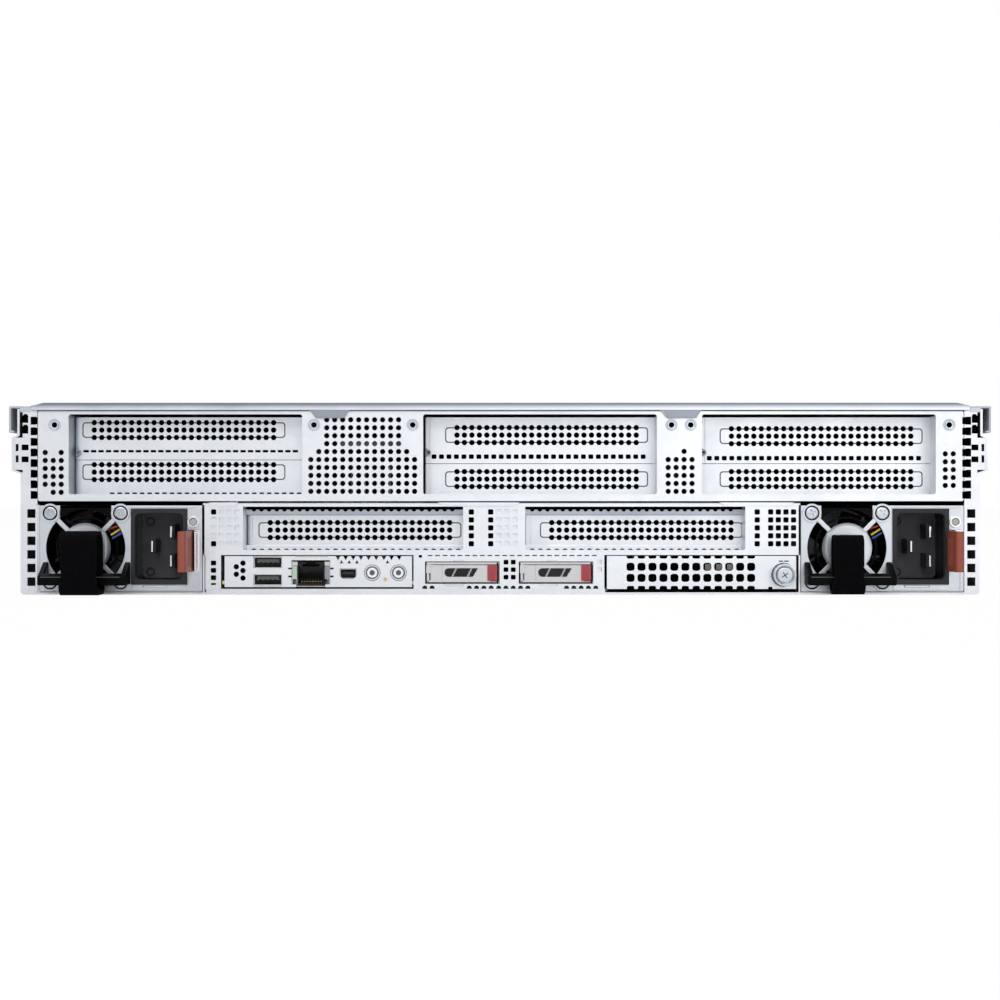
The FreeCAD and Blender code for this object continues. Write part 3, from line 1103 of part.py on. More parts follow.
def drive_cage():
    """Front panel with intakes, a tube for the drive bays, and the fixed deck."""
    cage = Piece("drive_cage", y="chassis_d")
    half = "chassis_w / 2 - wall - fit"
    bays = "bay_count * bay_pitch / 2"
    low, high = "cage_low", "cage_low + drive_h + 2 * fit"
    mouth = rect(f"-({bays})", bays, low, high)
    cage.pad("FrontPanel", "y", "-cage_t", "0",
             [rect(f"-({half})", half, "wall", "lid_top - lid_t"), mouth])
    shell = rect(f"-({bays}) - cage_t", f"{bays} + cage_t", f"{low} - cage_t", f"{high} + cage_t")
    cage.pad("Tube", "y", "-drive_cage_d", "-cage_t", [shell, mouth])
    divider = cage.pad("Divider", "y", "-drive_cage_d", "-cage_t",
                       [rect(f"{bay_left(1)} - divider_t / 2", f"{bay_left(1)} + divider_t / 2", low, high)])
    cage.grid(divider, "bay_count - 1", "bay_pitch")
    cage.pad("Deck", "y", "-front_deck", "0",
             [rect("-chassis_w / 2", "chassis_w / 2", "lid_top - lid_t", "lid_top")])
    for side, left in (("Left", f"-({half}) + intake_in"), ("Right", f"{bays} + intake_in")):
        slot = cage.pocket(side + "Intakes", "y", "-cage_t", "0",
                           [rect(left, f"{left} + intake_w", "intake_low", "intake_low + intake_h")])
        cage.grid(slot, "intake_columns", "intake_w + intake_bar", "intake_rows", "intake_h + intake_bar")
    return cage.done()


def drive_carrier(index):
    """A carrier frame with its drive, and the swing lever."""
    left = f"{bay_left(index)} + divider_t / 2 + fit"
    wide = "(bay_pitch - divider_t - 2 * fit)"
    carrier = Piece(f"CarrierFrame{index}", x=left, y="chassis_d", z="cage_low + fit")
    carrier.pad("Frame", "x", "0", wide,
                [[("-carrier_d", "0"), ("carrier_out", "0"), ("carrier_out", "drive_h"),
                  ("-carrier_d", "drive_h"), ("-carrier_d", "drive_h - rail_t"),
                  ("-carrier_face", "drive_h - rail_t"), ("-carrier_face", "rail_t"),
                  ("-carrier_d", "rail_t")]])
    vent = carrier.pocket("FaceVents", "y", "-carrier_face", "carrier_out",
                          [rect(f"{wide} / 2 - face_vent - face_web", f"{wide} / 2 - face_web",
                                "drive_lever_z + drive_lever_h + fit", "drive_h - rail_t")])
    carrier.grid(vent, "2", "face_vent + 2 * face_web")
    disk = DOC.addObject("Part::Box", f"Disk{index}")
    bind(disk, Length="disk_t", Width="disk_l", Height="drive_h - 2 * rail_t")
    place(disk, f"{left} + ({wide} - disk_t) / 2", "chassis_d - carrier_d", "cage_low + fit + rail_t")
    bundle = DOC.addObject("Part::Compound", f"drive_carrier_{index + 1}")
    bundle.Links = [carrier.body, disk]
    DOC.recompute()
    keep(bundle, f"drive_carrier_{index + 1}")
    lever = Piece(f"drive_lever_{index + 1}", x=left, y="chassis_d + carrier_out + fit",
                  z="cage_low + fit + drive_lever_z")
    lever.pad("Blade", "x", "0.6", f"{wide} - 0.6",
              [[("0", "0"), ("drive_lever_t", "lever_tip / 2"), ("drive_lever_t", "drive_lever_h - lever_tip"),
                ("drive_lever_t / 2", "drive_lever_h"), ("0", "drive_lever_h")]])
    slot = lever.pocket("LeverVents", "y", "0", "drive_lever_t",
                        [rect(f"{wide} / 2 - face_vent - face_web", f"{wide} / 2 - face_web", "lever_tip", "4 * lever_tip")])
    lever.grid(slot, "2", "face_vent + 2 * face_web", "2", "4 * lever_tip")
    lever.done()


def drive_blanks():
    """Filler blanks in the unused drive bays."""
    blanks = []
    wide = "(bay_pitch - divider_t - 2 * fit)"
    for index in range(4, int(number("bay_count"))):
        blank = Piece(f"DriveBlank{index}", x=f"{bay_left(index)} + divider_t / 2 + fit", y="chassis_d",
                      z="cage_low + fit")
        blank.pad("Face", "y", "-filler_d", "filler_out", [rect("0", wide, "0", "drive_h")])
        slot = blank.pocket("Slots", "y", "-filler_d", "filler_out",
                            [rect("filler_rim", f"{wide} - filler_rim", "2 * filler_rim", "6 * filler_rim")])
        blank.grid(slot, rows="3", row_pitch="7 * filler_rim")
        blanks.append(blank)
    group("drive_blanks", blanks)


def backplane():
    """Circuit board behind the drives with one connector per bay."""
    board = Piece("backplane", y="chassis_d - drive_cage_d")
    bays = "bay_count * bay_pitch / 2"
    board.pad("Board", "y", "-board_t", "0", [rect(f"-({bays})", bays, "wall", "cage_low + drive_h")])
    plug = board.pad("Plug", "y", "0", "drive_cage_d - carrier_d - fit",
                     [rect(f"{bay_left(0)} + bay_pitch / 2 - plug_w / 2", f"{bay_left(0)} + bay_pitch / 2 + plug_w / 2",
                           "plug_low", "plug_high")])
    board.grid(plug, "bay_count", "bay_pitch")
    return board.done()


def rack_ear(side, sign):
    """L-shaped rack ear: a drilled front plate and a side flange."""
    ear = Piece(f"rack_ear_{side}", y="chassis_d")
    wall, tip = "(chassis_w / 2 + bead_out)", "rack_w / 2"
    hole_x = "hole_span_x / 2"
    spans = {"left": (f"-{tip}", f"-{wall}"), "right": (wall, tip)}
    edge_low, edge_high = spans[side]
    holes = [(f"{sign}{hole_x}", level, "rack_hole_r")
             for level in ("rack_hole_low", "rack_hole_low + hole_span_z")]
    loops = [rect(edge_low, edge_high, "ear_low", "lid_top")] + holes
    if side == "left":
        loops.append(("-power_x - power_r", "power_z", "power_r + fit"))
    ear.pad("Plate", "y", "-ear_t", "0", loops)
    inner = {"left": (f"-{wall} - ear_t", f"-{wall}"), "right": (wall, f"{wall} + ear_t")}[side]
    ear.pad("Flange", "y", "-ear_side_l", "-ear_t", [rect(inner[0], inner[1], "ear_side_z", "ear_side_z + ear_side_h")])
    return ear.done()


def power_button():
    """Round power button in the left rack ear."""
    button = Piece("power_button", x="-power_x - power_r", y="chassis_d", z="power_z")
    flange = "(power_r + button_flange)"
    button.pad("Cap", "y", "-ear_t - fit", "power_travel + fit", [("0", "0", "power_r")])
    button.pad("Flange", "y", "-ear_t - fit - 2 * power_travel", "-ear_t - fit",
               [rect(f"-{flange}", flange, f"-{flange}", flange)])
    return button.done()


def build():
    """Every sub-part of the server."""
    chassis_tray()
    rear_wall()
    slot_blanks()
    riser_cages()
    lower_rear_frame()
    power_supplies()
    io_panel()
    io_ports()
    rear_button("id_button", "id_x")
    rear_button("reset_button", "reset_x")
    boot_bay_panel()
    boot_drive(1, "boot_bay_a")
    boot_drive(2, "boot_bay_b")
    network_card()
    top_cover()
    mainboard()
    heatsinks()
    memory_modules()
    air_shroud()
    cooling_fans()
    drive_cage()
    for index in range(4):
        drive_carrier(index)
    drive_blanks()
    backplane()
    rack_ear("left", "-")
    rack_ear("right", "")
    power_button()


def check():
    """Stop if an object failed or a node is empty or broken."""
    DOC.recompute()
    for thing in DOC.Objects:
        if "Invalid" in thing.State or "Error" in thing.State:
            raise RuntimeError(f"{thing.Label} did not compute")
    for node in NODES:
        if node.Shape.isNull() or not node.Shape.isValid() or not node.Shape.Solids:
            raise RuntimeError(f"{node.Label} has no sound shape")


build()
check()
os.makedirs("parts", exist_ok=True)
for node in NODES:
    node.Shape.exportStep(os.path.join("parts", node.Label + ".step"))
print(len(NODES), "nodes")
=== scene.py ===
"""Looks of a two-unit rack server seen from the rear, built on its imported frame.

Lengths in this script are millimetres: x to the right, y inwards from the rear plane, z up.
"""

import math

import bpy
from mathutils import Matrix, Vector
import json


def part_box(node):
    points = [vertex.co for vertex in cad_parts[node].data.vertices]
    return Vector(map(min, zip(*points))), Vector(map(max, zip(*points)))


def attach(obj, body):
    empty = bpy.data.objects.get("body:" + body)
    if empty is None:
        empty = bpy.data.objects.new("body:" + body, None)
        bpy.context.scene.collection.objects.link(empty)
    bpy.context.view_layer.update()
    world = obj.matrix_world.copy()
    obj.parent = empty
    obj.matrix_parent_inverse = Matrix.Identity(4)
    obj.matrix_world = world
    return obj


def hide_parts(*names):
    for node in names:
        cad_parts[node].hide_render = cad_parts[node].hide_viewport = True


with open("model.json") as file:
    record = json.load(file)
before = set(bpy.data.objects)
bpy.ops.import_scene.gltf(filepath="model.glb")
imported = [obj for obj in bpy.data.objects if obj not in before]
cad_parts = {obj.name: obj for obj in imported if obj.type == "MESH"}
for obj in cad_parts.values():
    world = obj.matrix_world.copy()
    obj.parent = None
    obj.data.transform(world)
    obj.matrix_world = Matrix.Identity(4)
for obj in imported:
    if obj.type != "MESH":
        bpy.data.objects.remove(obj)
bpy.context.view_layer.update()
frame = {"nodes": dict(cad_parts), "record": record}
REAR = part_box("rear_wall")[0].y
MM = 0.001
UPPER_WINDOWS = (-195.3, -34.8, 91.4)
LOW_WINDOWS = (-116.3, 11.4)
WALL_SCREWS = (-201.6, -84.2, -39.5, 77.6, 86.3, 203.3)
BOOT_BAYS = (-33.9, 8.5)
BUTTONS = {"id_button": -57.8, "reset_button": -45.9}
BUTTON_Z = 9.9
SCREW_X, SCREW_Z = 128.1, 9.0
LEVER_SHIFT = 1.8


# ---------------------------------------------------------------- workshop

def metres(x, y, z):
    """A spot in the shared frame from its place on the server."""
    return Vector((x * MM, REAR + y * MM, z * MM))


def rest():
    """Leave edit mode with nothing selected."""
    if bpy.context.object and bpy.context.object.mode != "OBJECT":
        bpy.ops.object.mode_set(mode="OBJECT")
    bpy.ops.object.select_all(action="DESELECT")


def pick(piece):
    """Make one piece the only selected and active one."""
    rest()
    piece.hide_viewport = False
    piece.select_set(True)
    bpy.context.view_layer.objects.active = piece
    return piece


def settle(piece, name):
    """Name a fresh primitive and put its place into its mesh."""
    pick(piece)
    bpy.ops.object.transform_apply(location=True, rotation=True, scale=True)
    piece.name = name
    return piece


def block(name, x, y, z):
    """A block between pairs of bounds along x, y and z."""
    rest()
    low, high = metres(x[0], y[0], z[0]), metres(x[1], y[1], z[1])
    bpy.ops.mesh.primitive_cube_add(size=1, location=(low + high) / 2, scale=high - low)
    return settle(bpy.context.object, name)


def span(middle, half):
    """The bounds at equal distances from a middle."""
    return middle - half, middle + half


def round_bar(name, x, y, z, radius, sides=32, top=None):
    """A round bar along y between two depths; top gives the far end another radius."""
    rest()
    near, far = metres(x, y[0], z), metres(x, y[1], z)
    bpy.ops.mesh.primitive_cone_add(
        vertices=sides, radius1=(radius if top is None else top) * MM, radius2=radius * MM,
        depth=(far - near).length, location=(near + far) / 2, rotation=(math.pi / 2, 0, 0))
    return settle(bpy.context.object, name)


def join(parts, name):
    """Weld several parts into one piece."""
    pick(parts[0])
    for part in parts:
        part.select_set(True)
    if len(parts) > 1:
        bpy.ops.object.join()
    bpy.context.object.name = name
    return bpy.context.object


def twin(piece, name):
    """A copy of a piece with its own mesh."""
    pick(piece)
    bpy.ops.object.duplicate(linked=False)
    bpy.context.object.name = name
    return bpy.context.object


def turned(piece, angle, axis, about):
    """Turn a piece's mesh about a spot on the server."""
    pick(piece)
    bpy.ops.object.mode_set(mode="EDIT")
    bpy.ops.mesh.select_all(action="SELECT")
    bpy.ops.transform.rotate(value=math.radians(angle), orient_axis=axis,
                             center_override=metres(*about))
    rest()
    return piece


def repeat(piece, count, step):
    """Repeat a piece by a step, with an applied array."""
    if count < 2:
        return piece
    pick(piece)
    row = piece.modifiers.new("Row", "ARRAY")
    row.count = count
    row.use_relative_offset = False
    row.use_constant_offset = True
    row.constant_offset_displace = Vector(step) * MM
    bpy.ops.object.modifier_apply(modifier=row.name)
    return piece


def choose(piece, kind, test):
    """Select the edges, faces or corners of a piece that pass a test, and open it in edit mode."""
    pick(piece)
    mesh = piece.data
    modes = {"corner": (True, False, False), "edge": (False, True, False),
             "face": (False, False, True)}
    bpy.context.tool_settings.mesh_select_mode = modes[kind]
    for group in (mesh.vertices, mesh.edges, mesh.polygons):
        group.foreach_set("select", [False] * len(group))
    group = {"corner": mesh.vertices, "edge": mesh.edges, "face": mesh.polygons}[kind]
    for item in group:
        item.select = bool(test(item))
    bpy.ops.object.mode_set(mode="EDIT")


def along(piece, axis, where=None):
    """A test for the edges that run along an axis and start where a second test says."""
    def test(edge):
        first, last = (piece.data.vertices[index].co for index in edge.vertices)
        run = (last - first).normalized()
        return abs(run["xyz".index(axis)]) > 0.999 and (where is None or where(first))
    return test


def facing(x=0, y=0, z=0):
    """A test for the faces that look one way."""
    return lambda face: face.normal.dot(Vector((x, y, z))) > 0.99


def round_along(piece, axis, radius, segments=4, where=None):
    """Round the edges of a block that run along an axis."""
    choose(piece, "edge", along(piece, axis, where))
    bpy.ops.mesh.bevel(offset=radius * MM, segments=segments, affect="EDGES")
    rest()
    return piece


def taper(piece, factors, **way):
    """Scale the faces of a piece that look one way."""
    choose(piece, "face", facing(**way))
    bpy.ops.transform.resize(value=factors)
    rest()
    return piece


def step_in(piece, *steps):
    """Inset the outer face and push it inwards, once for each (inset, push)."""
    choose(piece, "face", facing(y=-1))
    for inset, push in steps:
        bpy.ops.mesh.inset(thickness=inset * MM)
        bpy.ops.transform.translate(value=(0, push * MM, 0))
    rest()
    return piece


def cut(piece, *cutters):
    """Cut the cutters out of a piece."""
    tool = join(list(cutters), "cutter")
    pick(piece)
    hole = piece.modifiers.new("Cut", "BOOLEAN")
    hole.operation = "DIFFERENCE"
    hole.solver = "EXACT"
    hole.object = tool
    bpy.ops.object.modifier_apply(modifier=hole.name)
    bpy.data.objects.remove(tool)
    return piece


def ring(name, x, y, z, outer, inner, sides=48, bore=(-3, 4)):
    """A round bar with a bore between two depths."""
    bar = round_bar(name, x, y, z, outer, sides)
    return cut(bar, round_bar("bore", x, bore, z, inner, sides))


def soften(piece, width=0.15, segments=2, angle=35):
    """Break the sharp edges with a small applied bevel and shade the piece."""
    pick(piece)
    edge = piece.modifiers.new("Edges", "BEVEL")
    edge.width = width * MM
    edge.segments = segments
    edge.limit_method = "ANGLE"
    edge.angle_limit = math.radians(angle)
    edge.use_clamp_overlap = True
    bpy.ops.object.modifier_apply(modifier=edge.name)
    return smooth(piece)


def smooth(piece, angle=40):
    """Shade a piece by the angle between its faces."""
    pick(piece)
    bpy.ops.object.shade_smooth_by_angle(angle=math.radians(angle))
    level = piece.modifiers.new("Level", "WEIGHTED_NORMAL")
    level.weight = 100
    level.keep_sharp = True
    bpy.ops.object.modifier_apply(modifier=level.name)
    return piece


def holes(xs, zs, radius=1.22, y=(-2, 3), sides=16):
    """A field of round cutters; xs and zs are (first, pitch, count)."""
    tool = round_bar("hole", xs[0], y, zs[0], radius, sides)
    repeat(tool, xs[2], (xs[1], 0, 0))
    return repeat(tool, zs[2], (0, 0, zs[1]))


def slots(xs, zs, size, y=(-2, 3), radius=0.0):
    """A field of square cutters, with rounded corners if a radius is given."""
    wide, high = size
    tool = block("slot", (xs[0] - wide / 2, xs[0] + wide / 2), y,
                 (zs[0] - high / 2, zs[0] + high / 2))
    if radius:
        round_along(tool, "y", radius, 3)
    repeat(tool, xs[2], (xs[1], 0, 0))
    return repeat(tool, zs[2], (0, 0, zs[1]))


def dress(piece, material, body, *nodes, name=None, slot_name=None):
    """Give a finished piece its name, material, body and replaced nodes; its finish slot,
    slot_name, is not used.
    """
    piece.name = name or piece.name
    piece.data.materials.clear()
    piece.data.materials.append(material)
    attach(piece, body)
    if nodes:
        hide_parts(*nodes)
    return piece


# ---------------------------------------------------------------- finishes

class Finish:
    """A material under construction: its node tree and its principled shader."""

    def __init__(self, name, colour, roughness, metallic=0.0):
        self.material = bpy.data.materials.new(name)
        self.material.use_nodes = True
        self.nodes = self.material.node_tree.nodes
        self.link = self.material.node_tree.links.new
        self.shader = self.nodes["Principled BSDF"]
        self.shader.inputs["Base Color"].default_value = (*colour, 1)
        self.shader.inputs["Roughness"].default_value = roughness
        self.shader.inputs["Metallic"].default_value = metallic

    def add(self, kind, **values):
        """A node with its settings and input values."""
        node = self.nodes.new(kind)
        for key, value in values.items():
            if hasattr(node, key):
                setattr(node, key, value)
            else:
                node.inputs[key.replace("_", " ")].default_value = value
        return node

    def effect(self, group, **values):
        """A shared effect with its own values."""
        node = self.nodes.new("ShaderNodeGroup")
        node.node_tree = group
        for key, value in values.items():
            node.inputs[key].default_value = value
        return node

    def relief(self, height, distance, strength=1.0):
        """Feed a height into the shader's normal through a bump."""
        bump = self.nodes.new("ShaderNodeBump")
        bump.inputs["Distance"].default_value = distance
        bump.inputs["Strength"].default_value = strength
        self.link(height, bump.inputs["Height"])
        self.link(bump.outputs["Normal"], self.shader.inputs["Normal"])
        return bump


def effect_group(name, inputs, outputs):
    """An empty shared effect with its named sockets."""
    tree = bpy.data.node_groups.new(name, "ShaderNodeTree")
    for label, kind, value in inputs:
        socket = tree.interface.new_socket(label, in_out="INPUT", socket_type=kind)
        socket.default_value = value
    for label, kind in outputs:
        tree.interface.new_socket(label, in_out="OUTPUT", socket_type=kind)
    start = tree.nodes.new("NodeGroupInput")
    end = tree.nodes.new("NodeGroupOutput")
    return tree, tree.links.new, start, end


def two_tone_group():
    """Slow variation between two colours, with a rough and a relief value."""
    tree, link, start, end = effect_group(
        "mottle",
        [("Light", "NodeSocketColor", (0.8, 0.8, 0.8, 1)),
         ("Dark", "NodeSocketColor", (0.6, 0.6, 0.6, 1)),
         ("Scale", "NodeSocketFloat", 60.0), ("Rough low", "NodeSocketFloat", 0.3),
         ("Rough high", "NodeSocketFloat", 0.5)],
        [("Color", "NodeSocketColor"), ("Roughness", "NodeSocketFloat"),
         ("Height", "NodeSocketFloat")])
    place = tree.nodes.new("ShaderNodeTexCoord")
    cloud = tree.nodes.new("ShaderNodeTexNoise")
    cloud.inputs["Detail"].default_value = 6.0
    cloud.inputs["Roughness"].default_value = 0.62
    link(place.outputs["Object"], cloud.inputs["Vector"])
    link(start.outputs["Scale"], cloud.inputs["Scale"])
    blend = tree.nodes.new("ShaderNodeMix")
    blend.data_type = "RGBA"
    link(cloud.outputs["Fac"], blend.inputs[0])
    link(start.outputs["Light"], blend.inputs[6])
    link(start.outputs["Dark"], blend.inputs[7])
    rough = tree.nodes.new("ShaderNodeMapRange")
    rough.inputs["From Min"].default_value = 0.3
    rough.inputs["From Max"].default_value = 0.7
    link(cloud.outputs["Fac"], rough.inputs["Value"])
    link(start.outputs["Rough low"], rough.inputs["To Min"])
    link(start.outputs["Rough high"], rough.inputs["To Max"])
    link(blend.outputs[2], end.inputs["Color"])
    link(rough.outputs["Result"], end.inputs["Roughness"])
    link(cloud.outputs["Fac"], end.inputs["Height"])
    return tree


def spangle_group():
    """Zinc crystals: patches of slightly different tone, each with its own gloss."""
    tree, link, start, end = effect_group(
        "spangle",
        [("Color", "NodeSocketColor", (0.8, 0.8, 0.8, 1)), ("Scale", "NodeSocketFloat", 120.0),
         ("Contrast", "NodeSocketFloat", 0.1)],
        [("Color", "NodeSocketColor"), ("Gloss", "NodeSocketFloat")])
    place = tree.nodes.new("ShaderNodeTexCoord")
    crystal = tree.nodes.new("ShaderNodeTexVoronoi")
    crystal.inputs["Randomness"].default_value = 1.0
    link(place.outputs["Object"], crystal.inputs["Vector"])
    link(start.outputs["Scale"], crystal.inputs["Scale"])
    grey = tree.nodes.new("ShaderNodeRGBToBW")
    link(crystal.outputs["Color"], grey.inputs["Color"])
    level = tree.nodes.new("ShaderNodeMath")
    level.operation = "MULTIPLY"
    link(grey.outputs["Val"], level.inputs[0])
    link(start.outputs["Contrast"], level.inputs[1])
    shade = tree.nodes.new("ShaderNodeMix")
    shade.data_type = "RGBA"
    shade.blend_type = "MIX"
    shade.inputs[7].default_value = (0.25, 0.27, 0.3, 1)
    link(level.outputs[0], shade.inputs[0])
    link(start.outputs["Color"], shade.inputs[6])
    link(shade.outputs[2], end.inputs["Color"])
    link(grey.outputs["Val"], end.inputs["Gloss"])
    return tree


def grain_group():
    """Fine moulded grain or drawn lines: a height that stretches along one direction."""
    tree, link, start, end = effect_group(
        "grain",
        [("Scale", "NodeSocketFloat", 900.0), ("Stretch", "NodeSocketVector", (1, 1, 1))],
        [("Height", "NodeSocketFloat")])
    place = tree.nodes.new("ShaderNodeTexCoord")
    mapping = tree.nodes.new("ShaderNodeMapping")
    link(place.outputs["Object"], mapping.inputs["Vector"])
    link(start.outputs["Stretch"], mapping.inputs["Scale"])
    fine = tree.nodes.new("ShaderNodeTexNoise")
    fine.inputs["Detail"].default_value = 3.0
    link(mapping.outputs["Vector"], fine.inputs["Vector"])
    link(start.outputs["Scale"], fine.inputs["Scale"])
    link(fine.outputs["Fac"], end.inputs["Height"])
    return tree


MOTTLE = two_tone_group()
SPANGLE = spangle_group()
GRAIN = grain_group()


def metal(name, colour, rough, spangle=(140.0, 0.12), stretch=(1, 1, 1), relief=0.00002):
    """Sheet or turned metal with crystals, handling marks and a fine drawn grain."""
    finish = Finish(name, colour, rough[0], 1.0)
    crystals = finish.effect(SPANGLE, Color=(*colour, 1), Scale=spangle[0], Contrast=spangle[1])
    haze = finish.effect(MOTTLE, **{"Scale": 45.0, "Rough low": rough[0], "Rough high": rough[1],
                                    "Light": (1, 1, 1, 1), "Dark": (0.86, 0.87, 0.88, 1)})
    tone = finish.add("ShaderNodeMix", data_type="RGBA", blend_type="MULTIPLY")
    tone.inputs[0].default_value = 1.0
    finish.link(crystals.outputs["Color"], tone.inputs[6])
    finish.link(haze.outputs["Color"], tone.inputs[7])
    finish.link(tone.outputs[2], finish.shader.inputs["Base Color"])
    finish.link(haze.outputs["Roughness"], finish.shader.inputs["Roughness"])
    grain = finish.effect(GRAIN, Scale=700.0, Stretch=stretch)
    finish.relief(grain.outputs["Height"], relief, 0.5)
    return finish.material


def plastic(name, colour, rough, worn=0.75, grain=1400.0, relief=0.00004, shine=0.5):
    """Moulded plastic with a fine grain and slight colour variation."""
    finish = Finish(name, colour, rough[0])
    finish.shader.inputs["Specular IOR Level"].default_value = shine
    worn_colour = tuple(part * worn for part in colour)
    haze = finish.effect(MOTTLE, **{"Scale": 90.0, "Rough low": rough[0], "Rough high": rough[1],
                                    "Light": (*colour, 1), "Dark": (*worn_colour, 1)})
    finish.link(haze.outputs["Color"], finish.shader.inputs["Base Color"])
    finish.link(haze.outputs["Roughness"], finish.shader.inputs["Roughness"])
    texture = finish.effect(GRAIN, Scale=grain)
    finish.relief(texture.outputs["Height"], relief, 0.6)
    return finish.material


def webbing(name, colour):
    """Woven hook-and-loop webbing: a basket of ribs under a fuzzy pile."""
    finish = Finish(name, colour, 0.95)
    finish.shader.inputs["Sheen Weight"].default_value = 0.012
    finish.shader.inputs["Specular IOR Level"].default_value = 0.05
    finish.shader.inputs["Sheen Roughness"].default_value = 0.5
    place = finish.add("ShaderNodeTexCoord")
    across = finish.add("ShaderNodeTexWave", bands_direction="X", Scale=700.0, Distortion=1.5)
    upward = finish.add("ShaderNodeTexWave", bands_direction="Z", Scale=500.0, Distortion=1.5)
    pile = finish.add("ShaderNodeTexNoise", Scale=1500.0, Detail=4.0)
    for texture in (across, upward, pile):
        finish.link(place.outputs["Object"], texture.inputs["Vector"])
    ribs = finish.add("ShaderNodeMath", operation="MULTIPLY")
    finish.link(across.outputs["Fac"], ribs.inputs[0])
    finish.link(upward.outputs["Fac"], ribs.inputs[1])
    height = finish.add("ShaderNodeMath", operation="ADD")
    finish.link(ribs.outputs[0], height.inputs[0])
    finish.link(pile.outputs["Fac"], height.inputs[1])
    haze = finish.effect(MOTTLE, **{"Scale": 400.0, "Rough low": 0.85, "Rough high": 1.0,
                                    "Light": tuple(2.0 * part for part in colour) + (1,),
                                    "Dark": (*colour, 1)})
    finish.link(haze.outputs["Color"], finish.shader.inputs["Base Color"])
    finish.link(haze.outputs["Roughness"], finish.shader.inputs["Roughness"])
    finish.relief(height.outputs[0], 0.0003, 0.8)
    return finish.material


def board_finish(name, colour, track):
    """Circuit board: solder mask over a pattern of tracks and pads."""
    finish = Finish(name, colour, 0.35)
    place = finish.add("ShaderNodeTexCoord")
    tracks = finish.add("ShaderNodeTexBrick", Scale=180.0, Mortar_Size=0.06)
    finish.link(place.outputs["Object"], tracks.inputs["Vector"])
    tracks.inputs["Color1"].default_value = (*colour, 1)
    tracks.inputs["Color2"].default_value = (*(0.8 * part for part in colour), 1)
    tracks.inputs["Mortar"].default_value = (*track, 1)
    finish.link(tracks.outputs["Color"], finish.shader.inputs["Base Color"])
    haze = finish.effect(MOTTLE, **{"Scale": 60.0, "Rough low": 0.28, "Rough high": 0.45})
    finish.link(haze.outputs["Roughness"], finish.shader.inputs["Roughness"])
    finish.relief(tracks.outputs["Fac"], 0.00003, 0.4)
    return finish.material


zinc = metal("zinc_steel", (0.87, 0.885, 0.91), (0.34, 0.46), spangle=(140.0, 0.08))
lid_zinc = metal("lid_sheet_zinc", (0.66, 0.675, 0.7), (0.62, 0.74), spangle=(140.0, 0.08))
supply_zinc = metal("supply_steel", (0.72, 0.74, 0.78), (0.34, 0.46))
# Dark zinc: painted shade, for the blank catches and the lid's centre tongues.
deep_shade_zinc = metal("deep_shade_zinc", (0.33, 0.36, 0.41), (0.4, 0.52))
shaded_zinc = metal("shaded_zinc", (0.6, 0.64, 0.7), (0.4, 0.52))
bright_zinc = metal("bright_zinc", (0.88, 0.89, 0.9), (0.2, 0.3), spangle=(300.0, 0.05))
screw_steel = metal("screw_steel", (0.62, 0.65, 0.7), (0.22, 0.34), spangle=(500.0, 0.1))
fin_aluminium = metal("fin_aluminium", (0.86, 0.86, 0.86), (0.28, 0.38), spangle=(300.0, 0.03),
                      stretch=(1, 0.05, 1))
pin_metal = metal("plug_pin", (0.82, 0.82, 0.8), (0.22, 0.32), spangle=(400.0, 0.05))
port_tin = metal("port_tin", (0.72, 0.7, 0.68), (0.25, 0.36), spangle=(400.0, 0.06))
# Dark metal for the cans behind the network card's grille: painted shade.
shaded_can_metal = metal("shaded_can", (0.16, 0.145, 0.13), (0.4, 0.5))
gilt = metal("gilt_contact", (0.83, 0.6, 0.28), (0.25, 0.35), spangle=(300.0, 0.05))
black = plastic("black_plastic", (0.001, 0.001, 0.0014), (0.4, 0.5), shine=0.07)
gloss_black = plastic("gloss_black", (0.003, 0.003, 0.004), (0.28, 0.38), grain=900.0,
                      relief=0.00002, shine=0.35)
# Matt black for plates and rings put in gaps, slots and behind openings: painted shade.
shade_black = plastic("painted_shade_black", (0.0006, 0.0006, 0.0008), (0.9, 1.0), shine=0.0)
charcoal = plastic("charcoal_plastic", (0.02, 0.021, 0.024), (0.5, 0.65), grain=900.0,
                   relief=0.00015, shine=0.35)
socket_grey = plastic("socket_floor", (0.075, 0.077, 0.085), (0.55, 0.7), grain=900.0,
                      relief=0.0002)
# Dark grey for the USB tongues and the button spots; also painted shade in the blank grooves,
# button wells and thumbscrew, and a painted highlight line on the handles.
slate_and_painted_light = plastic("slate_plastic_and_painted_light", (0.09, 0.095, 0.1), (0.4, 0.5))
lever_grey = plastic("drive_lever_grey", (0.09, 0.095, 0.1), (0.4, 0.5))
pale_plastic = plastic("light_plastic", (0.55, 0.55, 0.56), (0.35, 0.45), worn=0.92)
carrier_grey = plastic("carrier_grey", (0.62, 0.61, 0.62), (0.35, 0.45), worn=0.93)
button_white = plastic("button_white", (0.86, 0.86, 0.87), (0.3, 0.4), worn=0.96)
lamp_grey = plastic("lamp_lens", (0.42, 0.41, 0.4), (0.15, 0.25), worn=0.9)
terracotta = plastic("terracotta_plastic", (0.3, 0.062, 0.035), (0.4, 0.52), worn=0.85)
red_plastic = plastic("red_plastic", (0.4, 0.05, 0.06), (0.35, 0.48), worn=0.85)
lead_red = plastic("lead_red", (0.45, 0.04, 0.03), (0.35, 0.45))
lead_yellow = plastic("lead_yellow", (0.75, 0.52, 0.05), (0.35, 0.45))
lead_blue = plastic("lead_blue", (0.03, 0.08, 0.4), (0.35, 0.45))
strap_cloth = webbing("black_webbing", (0.0012, 0.0012, 0.0016))
board_green = board_finish("circuit_board", (0.01, 0.09, 0.04), (0.03, 0.16, 0.07))
lens_green = plastic("lens_green", (0.5, 0.62, 0.48), (0.2, 0.3))
lens_violet = plastic("lens_violet", (0.3, 0.3, 0.36), (0.2, 0.3))


